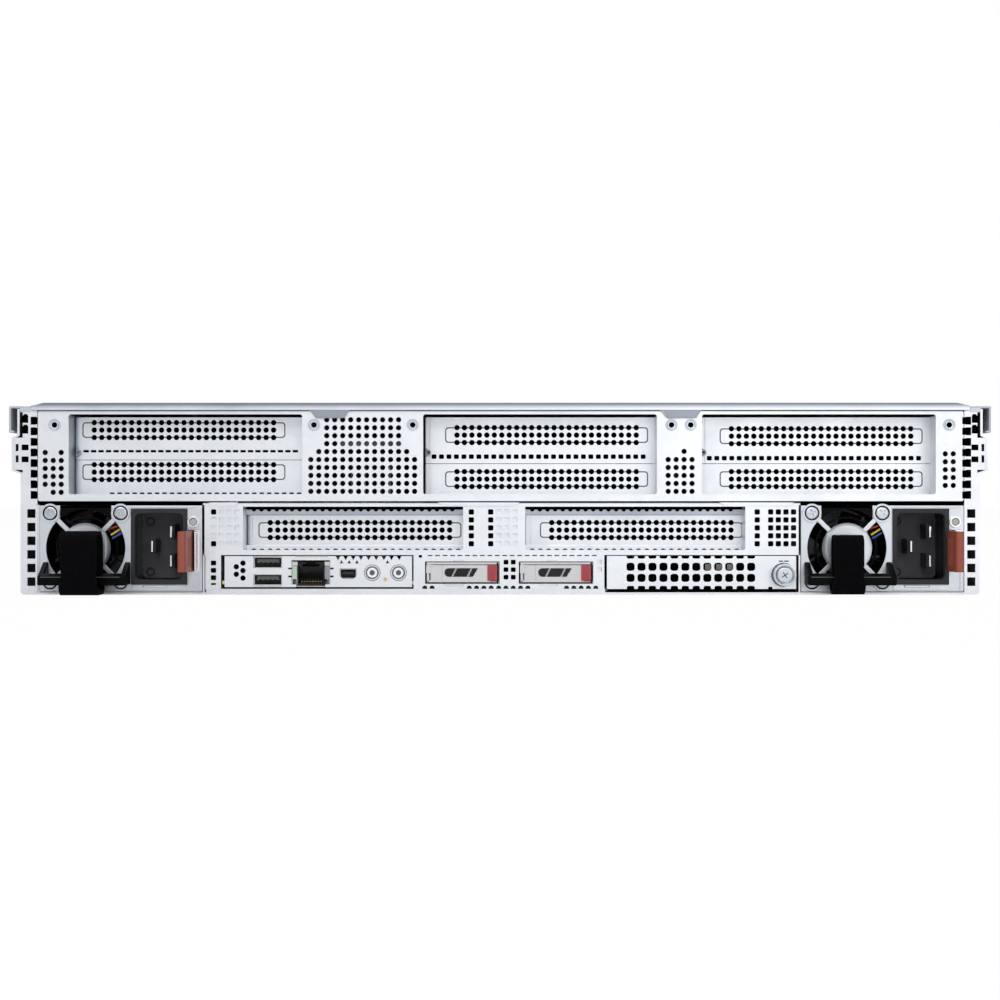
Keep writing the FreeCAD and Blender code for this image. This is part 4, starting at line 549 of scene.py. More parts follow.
def painted_lip_light():
    """Rolled zinc edge with painted light: painted shade along its foot and its crown, a painted
    highlight between.
    """
    finish = Finish("rolled_lip_painted_light", (0.8, 0.82, 0.85), 0.35, 1.0)
    place = finish.add("ShaderNodeTexCoord")
    axes = finish.add("ShaderNodeSeparateXYZ")
    finish.link(place.outputs["Object"], axes.inputs[0])
    level = finish.add("ShaderNodeMapRange")
    level.inputs["From Min"].default_value = 83.2 * MM
    level.inputs["From Max"].default_value = 86.7 * MM
    finish.link(axes.outputs["Z"], level.inputs["Value"])
    # Bands up the lip's height: painted shade at foot and crown, painted highlight between.
    bands = finish.add("ShaderNodeValToRGB")
    for at, tone in ((0.14, (0.8, 0.82, 0.85, 1)), (0.42, (0.62, 0.65, 0.7, 1)),
                     (0.72, (0.3, 0.33, 0.38, 1))):
        bands.color_ramp.elements.new(at).color = tone
    bands.color_ramp.elements[0].color = (0.05, 0.055, 0.065, 1)
    bands.color_ramp.elements[-1].color = (0.12, 0.13, 0.16, 1)
    finish.link(level.outputs["Result"], bands.inputs["Fac"])
    haze = finish.effect(MOTTLE, **{"Scale": 45.0, "Rough low": 0.3, "Rough high": 0.42})
    finish.link(haze.outputs["Roughness"], finish.shader.inputs["Roughness"])
    finish.link(bands.outputs["Color"], finish.shader.inputs["Base Color"])
    return finish.material


lip_zinc_painted_light = painted_lip_light()


# ---------------------------------------------------------------- fixings

def screw_head(name, x, y, z, radius, recess=0.5, turn=0):
    """A pan head screw with a cross recess, its face at depth y."""
    head = round_bar(name, x, (y, y + 1.2), z, radius, 28)
    step_in(head, (radius * 0.22, -0.25))
    arm = radius * 0.62
    first = block("arm", (x - arm, x + arm), (y - 1, y + recess),
                  (z - radius * 0.12, z + radius * 0.12))
    second = block("arm", (x - radius * 0.12, x + radius * 0.12), (y - 1, y + recess),
                   (z - arm, z + arm))
    turned(first, turn, "Y", (x, y, z))
    turned(second, turn, "Y", (x, y, z))
    cut(head, first)
    cut(head, second)
    return soften(head, 0.06, 1)


# ---------------------------------------------------------------- upper rear wall

def make_rear_wall():
    """The upper wall sheet: three windows, vent fields, pressed screw seats, folded top."""
    sheet = block("upper_rear_wall", (-209.1, 209.8), (0, 1), (42.3, 83.0))
    round_along(sheet, "y", 0.8, 2)
    windows = []
    for left in UPPER_WINDOWS:
        opening = block("window", (left, left + 105.8), (-2, 3), (45.4, 81.6))
        windows.append(round_along(opening, "y", 1.0, 3))
    cut(sheet, *windows)
    fields = [
        holes((-205.8, 3.62, 3), (60.7, -3.6, 4)),
        holes((-205.8, 7.24, 2), (64.3, 1, 1)),
        holes((-202.2, 3.62, 2), (46.3, 1, 1)),
        holes((-78.4, 3.612, 10), (79.1, -3.6, 10)),
        holes((-82.0, 39.75, 2), (64.7, -3.6, 6)),
        holes((-85.6, 46.95, 2), (61.1, -3.6, 5)),
        holes((76.1, 3.6, 4), (61.1, -3.6, 5)),
        holes((83.3, 1, 1), (64.8, 1, 1)),
        holes((201.5, 3.6, 2), (63.7, -3.58, 5)),
    ]
    cut(sheet, *fields)
    for x in WALL_SCREWS:
        cut(sheet, round_bar("bore", x, (-2, 3), 76.8, 1.3, 32))
    flange = block("flange", (-209.1, 209.8), (1, 11), (82.0, 83.0))
    sheet = join([sheet, flange], "upper_rear_wall")
    smooth(sheet)
    dress(sheet, zinc, "chassis", "rear_wall")
    for index, x in enumerate(WALL_SCREWS):
        seat = round_bar("seat", x, (-0.35, 0.3), 76.8, 2.8, 48)
        cut(seat, round_bar("dish", x, (-0.6, 0.25), 76.8, 2.45, 48, top=1.35))
        cut(seat, round_bar("bore", x, (-2, 3), 76.8, 1.3, 32))
        dimple = round_bar("dimple", x, (-0.12, 0.1), 69.9, 2.7, 40, top=2.5)
        dress(soften(seat, 0.12, 2), shaded_zinc, "chassis", name=f"wall_seat_{index + 1}")
        dress(soften(dimple, 0.05, 1), zinc, "chassis", name=f"wall_dimple_{index + 1}")


GROOVE_SHADES = []


def blank_plate(name, left, low, high, width, row, centre):
    """A slot blank: bent edge, grooved field outline and three rows of round holes."""
    plate = block(name, (left + 2.5, left + width), (13, 13.9), (low, high))
    tab = block("tab", (left, left + 2.7), (13, 22), (low, high))
    groove = block("groove", span(centre, 46.6), (12, 13.7), span(row, 3.6))
    round_along(groove, "y", 1.5, 5)
    island = block("island", span(centre, 46.05), (11, 14.5), span(row, 3.05))
    round_along(island, "y", 1.1, 5)
    cut(groove, island)
    # The groove's twin, cut back to the groove and dressed dark slate, is painted shade laid in
    # the groove.
    shade = twin(groove, "groove_shade")
    cut(plate, groove)
    cut(shade, block("proud", (left, left + width), (11, 13.05), span(row, 5)))
    cut(shade, holes((centre - 41.16, 3.43, 25), (row - 3.43, 3.43, 3), 1.27, y=(10, 16)))
    GROOVE_SHADES.append(shade)
    cut(plate, holes((centre - 41.16, 3.43, 25), (row - 3.43, 3.43, 3), 1.27, y=(10, 16)))
    round_along(tab, "z", 2.4 if left < -100 else 0.8, 8,
                lambda at: at.x < (left + 1) * MM and at.y < metres(0, 13.2, 0).y)
    return plate, tab


def make_slot_blanks():
    """Six full-height blanks in pairs with their edge slits, and two low-profile ones."""
    blanks, jambs, shade_plates, catches = [], [], [], []
    for left in UPPER_WINDOWS:
        jambs.append(block("jamb", (left - 0.8, left), (1, 14.5), (45.4, 81.6)))
        shade_plates.append(block("shade_plate", (left + 1, left + 105), (22.2, 22.8), (44.6, 80.6)))
    for left in LOW_WINDOWS:
        shade_plates.append(block("shade_plate", (left + 1, left + 99), (22.2, 22.8), (20.4, 40.4)))
        shade_plates.append(block("shade_plate", (left + 0.2, left + 99.4), (13.2, 14.2), (38.6, 40.5)))
        shade_plates.append(block("shade_plate", (left + 0.2, left + 99.4), (12.75, 12.95), (19.2, 20.6)))
    dress(soften(join(jambs, "window_jambs"), 0.2, 2), shaded_zinc, "chassis")
    # Matt black plates behind the window slots and along the low blanks' brow and hem: painted
    # shade.
    dress(join(shade_plates, "slot_shade_plates"), shade_black, "chassis")
    upper = ((-195.3, 61.3, 74.9, -145.1, 65.2, 29, -190.0),
             (-34.8, 59.6, 72.6, 21.4, 62.7, 29, -30.3),
             (91.4, 59.6, 72.1, 147.4, 62.0, 29, 96.1))
    for left, low, row, centre, slit, count, first in upper:
        plate, tab = blank_plate("blank", left, low, 80.7, 105.8, row, centre)
        wide, high = (2.5, 1.15) if left < -100 else (2.3, 2.1)
        cut(plate, slots((first, 3.43, count), (slit, 1, 1), (wide, high), y=(10, 16),
                         radius=0.0 if left < -100 else 0.5))
        blanks += [plate, tab]
    for left, joint, row, centre in ((-195.3, 61.3, 55.6, -145.1), (-34.8, 59.6, 52.4, 21.4),
                                     (91.4, 59.6, 52.4, 147.4)):
        plate, tab = blank_plate("blank", left, 44.4, joint - 0.25, 105.8, row, centre)
        if left < -100:
            cut(plate, slots((-178.0, 3.43, 26), (45.9, 1, 1), (2.1, 0.75), y=(10, 16)))
        blanks += [plate, tab]
    for left in UPPER_WINDOWS:
        catch = block("catch", (left + 1.0, left + 3.2), (11.6, 13.2), (62.6, 66.6))
        taper(catch, (1, 1, 0.4), x=1)
        cut(catch, block("eye", (left + 1.4, left + 2.4), (10, 13), (64.0, 65.2)))
        catches.append(catch)
    # The catches are dressed in dark zinc as painted shade.
    dress(soften(join(catches, "blank_catches"), 0.2, 2), deep_shade_zinc, "chassis")
    piece = join(blanks, "full_height_slot_blanks")
    smooth(piece, 30)
    dress(piece, zinc, "chassis", "full_height_blanks")
    lows, brows = [], []
    for left, centre in ((-116.3, -64.3), (11.4, 64.9)):
        plate, tab = blank_plate("blank", left, 20.2, 35.8, 99.6, 29.0, centre)
        lows += [plate, tab]
        brow = block("brow", (left, left + 99.6), (12.4, 13.1), (36.0, 38.4))
        cut(brow, holes((left + 3.4, 3.5, 27), (38.6, 1, 1), 1.1, y=(10, 16), sides=14))
        brows.append(soften(brow, 0.3, 2, 30))
        hem = block("hem", (left, left + 99.6), (11.9, 12.7), (19.3, 22.2))
        cut(hem, holes((left + 3.4, 3.75, 26), (19.2, 1, 1), 1.35, y=(10, 16), sides=16))
        lows.append(soften(hem, 0.2, 2, 30))
    piece = join(lows, "low_profile_slot_blanks")
    smooth(piece, 30)
    dress(piece, zinc, "chassis", "low_profile_blanks")
    dress(join(brows, "low_profile_brows"), shaded_zinc, "chassis")
    dress(join(GROOVE_SHADES, "blank_groove_shades"), slate_and_painted_light, "chassis")


def make_lower_frame():
    """Lower rear frame: vented posts, slot windows, shelf, strip and bay walls."""
    plate = block("lower_frame_plate", (-134.5, 135.9), (0, 1), (19.2, 39.8))
    windows = [block("window", (left, left + 99.6), (-2, 3), (20.2, 40.4)) for left in LOW_WINDOWS]
    for opening in windows:
        round_along(opening, "y", 0.8, 2)
    cut(plate, *windows)
    rows = (37.4, -3.6, 5)
    vents = [slots(columns, rows, (2.4, 2.4), radius=0.5) for columns in
             ((-129.6, 3.55, 4), (-13.0, 1, 1), (-4.2, 3.63, 4), (116.4, 1, 1), (122.5, 3.45, 4))]
    cut(plate, *vents)
    shelf = block("shelf", (-134.5, 135.9), (0, 14), (17.9, 19.2))
    lintel = block("lintel", (-134.5, 135.9), (0, 14), (39.8, 41.3))
    strip = block("strip", (-209.4, 210.8), (13, 30), (40.6, 41.6))
    parts = [plate, shelf, lintel, strip]
    for left, start in ((-209.4, 1), (-134.5, 0), (135.1, 0), (210.0, 1)):
        parts.append(block("bay_wall", (left, left + 0.8), (start, 190), (1, 40.6)))
    for left in LOW_WINDOWS:
        parts.append(block("return", (left - 0.8, left), (1, 22), (19.2, 39.8)))
        parts.append(block("return", (left + 99.6, left + 100.4), (1, 22), (19.2, 39.8)))
    for x in ((-131.5, -118.5), (-28.2, 8.9), (99.1, 133.0)):
        clip = block("clip", x, (-0.9, 0.5), (40.2, 41.7))
        taper(clip, (0.86, 1, 1), z=-1)
        parts.append(clip)
    parts.append(slots((-126.0, 3.6, 3), (30.2, 1, 1), (3.5, 17.6), y=(1.15, 1.5)))
    parts.append(slots((-129.6, 3.6, 1), (30.2, 1, 1), (3.5, 9.4), y=(1.15, 1.5)))
    parts.append(slots((-0.5, 3.6, 3), (30.2, 1, 1), (3.6, 17.6), y=(1.15, 1.5)))
    frame_piece = soften(join(parts, "lower_rear_sheet_frame"), 0.15, 2, 30)
    dress(frame_piece, zinc, "chassis", "lower_rear_frame")


# ---------------------------------------------------------------- carried-over nodes

def carried(node, name, width=0.2, segments=2):
    """A softened copy of a CAD node, standing for it."""
    pick(frame["nodes"][node])
    bpy.ops.object.duplicate(linked=False)
    piece = bpy.context.object
    piece.name = name
    piece.parent = None
    bpy.context.tool_settings.mesh_select_mode = (True, False, False)
    bpy.ops.object.mode_set(mode="EDIT")
    bpy.ops.mesh.select_all(action="SELECT")
    bpy.ops.mesh.remove_doubles(threshold=0.00001)
    bpy.ops.mesh.dissolve_limited(angle_limit=math.radians(1))
    rest()
    return soften(piece, width, segments)


body_of = {}
for body, members in frame["record"]["behaviour"]["bodies"].items():
    for node in members:
        body_of[node] = body


# ---------------------------------------------------------------- power supplies

def shell(name, x, y, z, thick):
    """A sheet tube open along y."""
    tube = block(name, x, y, z)
    inside = block("inside", (x[0] + thick, x[1] - thick), (y[0] - 1, y[1] + 1),
                   (z[0] + thick, z[1] - thick))
    return cut(tube, inside)


def make_supply_case(side, s):
    """Sheet case with its fan guard, pressed screw seats, inlet and latch openings."""
    fan_x, fan_z = s + 20.8, 21.1
    face = block("face", (s + 0.4, s + 73.1), (0, 0.8), (1.7, 39.9))
    mouth = round_bar("mouth", fan_x, (-2, 3), fan_z, 17.9, 72)
    notch = block("notch", span(fan_x, 11.6), (-2, 3), (fan_z, 41))
    socket = block("socket", (s + 41.7, s + 66.5), (-2, 3), (4.8, 38.6))
    pull = block("pull", (s + 67.2, s + 70), (-2, 3), (10.5, 29.1))
    cut(face, mouth)
    cut(face, notch)
    cut(face, socket)
    cut(face, pull)
    parts = [face, shell("tube", (s, s + 73.5), (0.1, 185), (1.3, 40.3), 0.8),
             block("far_face", (s + 0.4, s + 73.1), (184.2, 185), (1.7, 39.9))]
    cut(parts[1], block("relief", span(fan_x, 11.6), (-2, 24), (38, 42)))
    hub = round_bar("hub", fan_x, (-0.35, 0.6), fan_z, 11.3, 64)
    step_in(hub, (1.5, 0.45))
    parts.append(hub)
    ledge = block("ledge", span(fan_x, 9.2), (-0.25, 0.2), (fan_z - 9, fan_z + 7))
    round_along(ledge, "y", 6.5, 8, lambda at: at.z < fan_z * MM)
    parts.append(ledge)
    for angle in (45, 135, 225, 315):
        spoke = block("spoke", (fan_x + 10.5, fan_x + 20.5), (-0.2, 0.6), span(fan_z, 1))
        parts.append(turned(spoke, angle, "Y", (fan_x, 0, fan_z)))
    for across in (-15.9, 15.9):
        for up in (-15.4, 15.8):
            seat = ring("seat", fan_x + across, (-0.9, 0.5), fan_z + up, 4.25, 3.35, 48,
                        (-3, -0.15))
            parts.append(seat)
    lip = block("lip", (s + 41.6, s + 66.4), (-0.6, 0), (1.9, 4.0))
    press = block("press", (s + 46.5, s + 58.3), (-0.95, -0.5), (3.1, 4.2))
    taper(press, (0.9, 1, 0.7), y=-1)
    pad_plate = block("pad", (s + 66.9, s + 72.6), (-0.5, 0), (29.4, 38.9))
    round_along(pad_plate, "y", 0.9, 2)
    edge_fold = block("fold", (s + 71.9, s + 73.5), (-0.35, 0), (1.9, 39.6))
    bead = block("bead", (s + 41.0, s + 71.0), (-0.3, 0.2), (39.2, 39.9))
    parts += [lip, press, pad_plate, edge_fold, bead]
    case = soften(join(parts, f"supply_case_{side}"), 0.12, 2, 30)
    dress(case, supply_zinc, f"psu_{side}", f"psu_case_{side}")
    for index, (across, up) in enumerate(((-15.9, 15.8), (15.9, 15.8), (-15.9, -15.4),
                                          (15.9, -15.4)), 1):
        head = screw_head(f"guard_screw_{side}_{index}", fan_x + across, -0.75, fan_z + up, 2.8,
                          0.7, turn=20 * index)
        dress(head, screw_steel, f"psu_{side}")
        # A matt black ring between each screw head and its seat: painted shade.
        gap = ring("gap", fan_x + across, (-0.5, -0.1), fan_z + up, 3.33, 2.82, 40, (-2, 2))
        dress(gap, shade_black, f"psu_{side}", name=f"guard_screw_gap_shade_{side}_{index}")
    # A matt black plate behind the top of the fan notch: painted shade.
    shade_plate = block(f"supply_shade_plate_{side}", span(fan_x, 11.4), (0.9, 1.3), (38.6, 40.2))
    dress(shade_plate, shade_black, f"psu_{side}")
    # A matt black plate in the gap above the supply: painted shade.
    gap = block(f"supply_gap_shade_{side}", (s, s + 73.5), (2, 3), (40.45, 42.0))
    dress(gap, shade_black, "chassis")
    # A slate line along the front of the handle's bar: painted highlight.
    edge = block(f"handle_highlight_line_{side}", (s + 2.8, s + 38.4), (-12.1, -11.9), (8.15, 8.5))
    dress(soften(edge, 0.05, 1), slate_and_painted_light, f"psu_{side}")
    bezel = ring("bezel", s + 69.6, (-1.7, 0), 32.9, 2.6, 1.75, 40, (-3, -0.6))
    dress(soften(bezel, 0.2, 2), bright_zinc, f"psu_{side}", name=f"lamp_bezel_{side}")
    lens = round_bar(f"lamp_lens_{side}", s + 69.6, (-1.3, -0.4), 32.9, 1.45, 32, top=1.7)
    dress(soften(lens, 0.25, 3), lamp_grey, f"psu_{side}")


def make_supply_fan(side, s):
    """Black plastic fan frame with its inner ring and bent struts, and three fixed leads."""
    fan_x, fan_z = s + 20.8, 21.1
    body = block("body", span(fan_x, 19.2), (0.8, 20.8), span(fan_z, 18.1))
    cut(body, round_bar("bore", fan_x, (-2, 30), fan_z, 17.5, 72))
    plate = round_bar("plate", fan_x, (17.8, 20.8), fan_z, 9.5, 40)
    inner_ring = ring("ring", fan_x, (2.8, 4.0), fan_z, 14.2, 13.2, 64, (-2, 8))
    parts = [body, plate, inner_ring]
    for angle in (22, 66, 158, 250, 338):
        strut = block("strut", (fan_x + 13.6, fan_x + 18), (2.9, 3.9), span(fan_z, 0.4))
        turned(strut, angle + 25, "Y", (fan_x + 13.6, 0, fan_z))
        parts.append(turned(strut, angle, "Y", (fan_x, 0, fan_z)))
    for angle in (20, 200):
        arm = block("arm", (fan_x + 9, fan_x + 18), (17.8, 20.8), span(fan_z, 1))
        parts.append(turned(arm, angle, "Y", (fan_x, 0, fan_z)))
    fan = soften(join(parts, f"supply_fan_frame_{side}"), 0.25, 2, 30)
    dress(fan, black, f"psu_{side}", f"psu_fan_frame_{side}")
    for index, (paint, near, far) in enumerate(((lead_red, (30.3, 28.7), (37.2, 31.0)),
                                                (lead_yellow, (32.0, 26.2), (38.4, 30.3)),
                                                (lead_blue, (32.6, 24.6), (38.8, 28.3))), 1):
        length = math.dist(near, far)
        lead = block("lead", (s + near[0], s + near[0] + length), (1.2, 2.3),
                     (near[1] + 0.3, near[1] + 1.2))
        round_along(lead, "x", 0.4, 3)
        lean = math.degrees(math.atan2(far[1] - near[1], far[0] - near[0]))
        turned(lead, lean, "Y", (s + near[0], 1.7, near[1] + 0.7))
        dress(smooth(lead, 60), paint, f"psu_{side}", slot_name="black_plastic",
              name=f"fan_lead_{side}_{index}")


def make_inlet(side, s):
    """Inlet moulding: flange, deep socket, three flat pins, floor screws and marks."""
    left, low = s + 41.4, 4.5
    body = join([block("flange", (left, left + 25.4), (-1.2, 0.2), (low, low + 34.4)),
                 block("body", (left + 0.6, left + 24.8), (0.1, 22),
                       (low + 0.6, low + 33.8))], "body")
    mouth = block("mouth", (left + 1.8, left + 23.6), (-3, 18.8), (low + 2.2, low + 32.4))
    round_along(mouth, "y", 2.6, 6)
    cut(body, mouth)
    soften(body, 0.35, 3, 30)
    sunk = [block("step", (left + 1.6, left + 23.8), (0.6, 0.9), (low + 2.0, low + 32.6))]
    trim = sunk[0]
    round_along(trim, "y", 2.6, 6)
    hole = block("hole", (left + 2.1, left + 23.3), (-3, 3), (low + 2.5, low + 32.1))
    round_along(hole, "y", 2.2, 6)
    cut(trim, hole)
    parts = [body, trim]
    for across, up in ((5.6, 28.4), (5.6, 5.2)):
        seat = ring("seat", left + across, (17.9, 19), low + up, 2.1, 1.2, 24, (15, 18.5))
        parts.append(soften(seat, 0.15, 2))
    for across, up, wide, high in ((9.6, 22.6, 1.0, 2.6), (11.4, 22.6, 1.0, 2.6),
                                   (9.4, 25.6, 2.6, 0.6),
                                   (17.0, 29.4, 3.4, 0.7), (18.4, 4.6, 1.6, 1.6),
                                   (16.4, 3.6, 0.7, 2.4)):
        bump = block("bump", (left + across, left + across + wide), (18.4, 19),
                     (low + up, low + up + high))
        parts.append(soften(bump, 0.15, 2))
    moulding = join(parts, f"inlet_moulding_{side}")
    dress(moulding, charcoal, f"psu_{side}", f"psu_inlet_{side}")
    floor = block(f"inlet_floor_{side}", (left + 2.0, left + 23.4), (18.3, 18.75),
                  (low + 2.4, low + 32.2))
    round_along(floor, "y", 2.4, 6)
    dress(smooth(floor), socket_grey, f"psu_{side}")
    for name, across, up in (("earth", 9.0, 17.2), ("upper", 17.6, 23.8), ("lower", 17.6, 10.6)):
        pin = block("pin", (left + across - 1, left + across + 1), (2.3, 19),
                    (low + up - 2.9, low + up + 2.9))
        taper(pin, (0.45, 1, 0.86), y=-1)
        # A gloss black block round the back part of each pin, from 5.5 mm in to the floor.
        dark_root = block("dark_root", (left + across - 1.25, left + across + 1.25), (5.5, 19),
                       (low + up - 3.2, low + up + 3.2))
        soften(pin, 0.2, 2)
        dress(pin, pin_metal, f"psu_{side}", name=f"inlet_pin_{side}_{name}")
        dress(soften(dark_root, 0.25, 2), gloss_black, f"psu_{side}",
              name=f"inlet_pin_root_block_{side}_{name}")


def make_strap(side, s, left, wide, high, deep, crown):
    """Hook-and-loop strap wrapped round the handle's bar, bulging at its foot."""
    near, far = -7 - deep, -7
    loop = block("loop", (s + left, s + left + wide), (near, far), (0.6, high + 0.6))
    round_along(loop, "x", crown, 8, lambda at: at.z > 10 * MM)
    round_along(loop, "x", 4.2, 7, lambda at: at.z < 3 * MM)
    inner = block("inner", (s + left - 1, s + left + wide + 1), (near + 1.7, far - 1.7),
                  (2.3, high - 1.1))
    round_along(inner, "x", 2.4, 5)
    cut(loop, inner)
    pick(loop)
    bpy.ops.object.mode_set(mode="EDIT")
    for fraction in range(1, 12):
        level = 0.6 + high * fraction / 12
        bpy.ops.mesh.select_all(action="SELECT")
        bpy.ops.mesh.bisect(plane_co=metres(0, 0, level), plane_no=(0, 0, 1))
    rest()
    for low, top, spread in ((-1, 6.4, 1.05), (-1, 4.6, 1.04), (8.2, 12.0, 0.95)):
        choose(loop, "corner", lambda corner: low * MM < corner.co.z < top * MM)
        bpy.ops.transform.resize(value=(spread, 1, 1),
                                 center_override=metres(s + left + wide / 2, near, 0))
        rest()
    loop.name = f"strap_{side}"
    soften(loop, 0.45, 3, 40)
    dress(loop, strap_cloth, f"psu_{side}", f"psu_strap_{side}")


def make_latch(side, s):
    """Release latch: pale-flanked grip, ribbed side and its leaf spring."""
    left = s + 65.5
    grip = block("grip", (left, left + 3.8), (-21, -3), (10.8, 28.8))
    round_along(grip, "z", 1.5, 4, lambda at: at.y < metres(0, -15, 0).y)
    round_along(grip, "x", 2.0, 5)
    grooves = block("groove", (left + 3.5, left + 5), (-15, -14.2), (13.5, 26))
    repeat(grooves, 6, (0, 1.7, 0))
    cut(grip, grooves)
    mirror_groove = block("groove", (left - 1, left + 0.3), (-15, -14.2), (13.5, 26))
    repeat(mirror_groove, 6, (0, 1.7, 0))
    cut(grip, mirror_groove)
    stem = block("stem", (left + 2.4, left + 3.8), (-4, 10), (10.8, 28.8))
    latch = soften(join([grip, stem], f"latch_{side}"), 0.15, 2)
    dress(latch, terracotta, body_of[f"psu_latch_{side}"], f"psu_latch_{side}")
    leaf = block("leaf", (s + 70.2, s + 72.0), (-1.2, 0.2), (11.4, 28.2))
    fold = block("fold", (s + 70.2, s + 70.6), (-2.0, -1), (11.4, 28.2))
    stop = block("stop", (s + 69.9, s + 72.4), (-0.5, 0.2), (10.2, 29.2))
    leaf = soften(join([leaf, fold, stop], f"leaf_spring_{side}"), 0.15, 2)
    dress(leaf, bright_zinc, f"psu_{side}")


# ---------------------------------------------------------------- lower row of the rear

def triangles(xs, z, size, up):
    """A row of small three-cornered cutters; xs is (first, pitch, count)."""
    rest()
    bpy.ops.mesh.primitive_cylinder_add(
        vertices=3, radius=size * MM, depth=6 * MM, location=metres(xs[0], 1, z),
        rotation=(math.pi / 2, 0 if up else math.pi, 0))
    tool = settle(bpy.context.object, "triangle")
    return repeat(tool, xs[2], (xs[1], 0, 0))


def make_vent_strip():
    """Folded vent strip at the left of the lower row, with a gilt spring contact beside it."""
    strip = block("vent_strip", (-133.3, -126.2), (-0.3, 0.7), (2.2, 18.0))
    cut(strip, slots((-129.6, 1, 1), (7.65, 3.33, 3), (2.4, 2.2), radius=0.4))
    cut(strip, slots((-129.6, 1, 1), (4.8, 1, 1), (2.3, 0.9), radius=0.4))
    turn_in = block("turn_in", (-126.9, -126.2), (0, 12), (2.2, 18.0))
    strip = soften(join([strip, turn_in], "side_vent_strip"), 0.2, 3, 30)
    dress(strip, zinc, "chassis")
    for index, x in enumerate((-125.0, -39.0), 1):
        contact = round_bar("contact", x, (0.3, 5), 5.4, 0.9, 20, top=0.6)
        dress(soften(contact, 0.2, 2), gilt, "chassis", name=f"gilt_contact_{index}")


def make_io_panel():
    """Input and output panel with its vents, port openings, button wells and half-cut vents."""
    panel = block("panel", (-124.6, -39.8), (-0.2, 0.8), (3.4, 17.4))
    for low in (4.2, 12.0):
        cut(panel, block("usb", (-111.5, -98.6), (-3, 4), (low, low + 5.0)))
    jack = block("jack", (-94.3, -76.8), (-3, 4), (4.6, 15.2))
    foot = block("foot", (-92.2, -79.0), (-3, 4), (3.0, 5.0))
    ears = slots((-95.0, 18.9, 2), (8.2, 3.6, 2), (1.6, 0.8), y=(-3, 4))
    cut(panel, jack)
    cut(panel, foot)
    cut(panel, ears)
    display = block("display", (-72.5, -64.9), (-3, 4), (7.1, 11.8))
    round_along(display, "y", 1.3, 1, lambda at: at.z < 8 * MM)
    cut(panel, display)
    cut(panel, round_bar("well", -57.8, (-3, 4), BUTTON_Z, 2.5, 32))
    cut(panel, round_bar("well", -45.9, (-3, 4), BUTTON_Z, 2.5, 32))
    cut(panel, round_bar("lamp", -51.9, (-3, 4), 6.9, 0.85, 20))
    cut(panel, holes((-116.3, 1, 1), (7.5, 3.38, 3), 1.25))
    cut(panel, holes((-119.3, 1, 1), (9.2, 3.4, 2), 1.25))
    cut(panel, slots((-106.9, 1, 1), (17.3, 1, 1), (9.5, 0.7), y=(-3, 4)))
    cut(panel, triangles((-73.3, 3.46, 9), 16.9, 1.35, False))
    cut(panel, triangles((-71.7, 3.5, 3), 14.6, 1.0, True))
    cut(panel, triangles((-50.9, 1, 1), 14.6, 1.0, True))
    soften(panel, 0.18, 2, 30)
    sill = block("io_sill_shade", (-125.4, -39.2), (0.85, 0.97), (2.0, 3.7))
    dress(sill, shade_black, "chassis")
    parts = [panel]
    for x in BUTTONS.values():
        well = ring("well_ring", x, (-0.75, 0.4), BUTTON_Z, 3.45, 2.45)
        dish = round_bar("dish", x, (-0.9, 0.5), BUTTON_Z, 3.15, 48, top=2.45)
        cut(well, dish)
        parts.append(soften(well, 0.1, 2))
    wells = []
    for x in BUTTONS.values():
        rim = ring("rim", x, (-0.4, -0.22), BUTTON_Z, 3.7, 3.4)
        floor = ring("floor", x, (-0.3, 0.3), BUTTON_Z, 2.75, 2.35)
        wells += [rim, floor]
    dress(smooth(join(wells, "button_well_shades")), slate_and_painted_light, "chassis")
    lips = [block("lip", (-111.3, -98.8), (-0.9, 0.2), (low, low + 0.4)) for low in (3.7, 17.05)]
    lips.append(block("lip", (-92.8, -77.6), (-0.9, 0.2), (17.0, 17.5)))
    dress(soften(join(lips, "port_lips"), 0.12, 1), port_tin, "chassis")
    under = block("jack_tab_shade", (-94.4, -76.8), (-0.35, 0.3), (15.1, 15.5))
    dress(under, shade_black, "chassis")
    tab = block("tab", (-94.6, -76.6), (-0.5, 0.2), (15.5, 17.2))
    taper(tab, (0.86, 1, 1), z=-1)
    parts.append(soften(tab, 0.15, 2))
    piece = join(parts, "io_panel_sheet")
    dress(piece, zinc, "chassis", "io_panel")


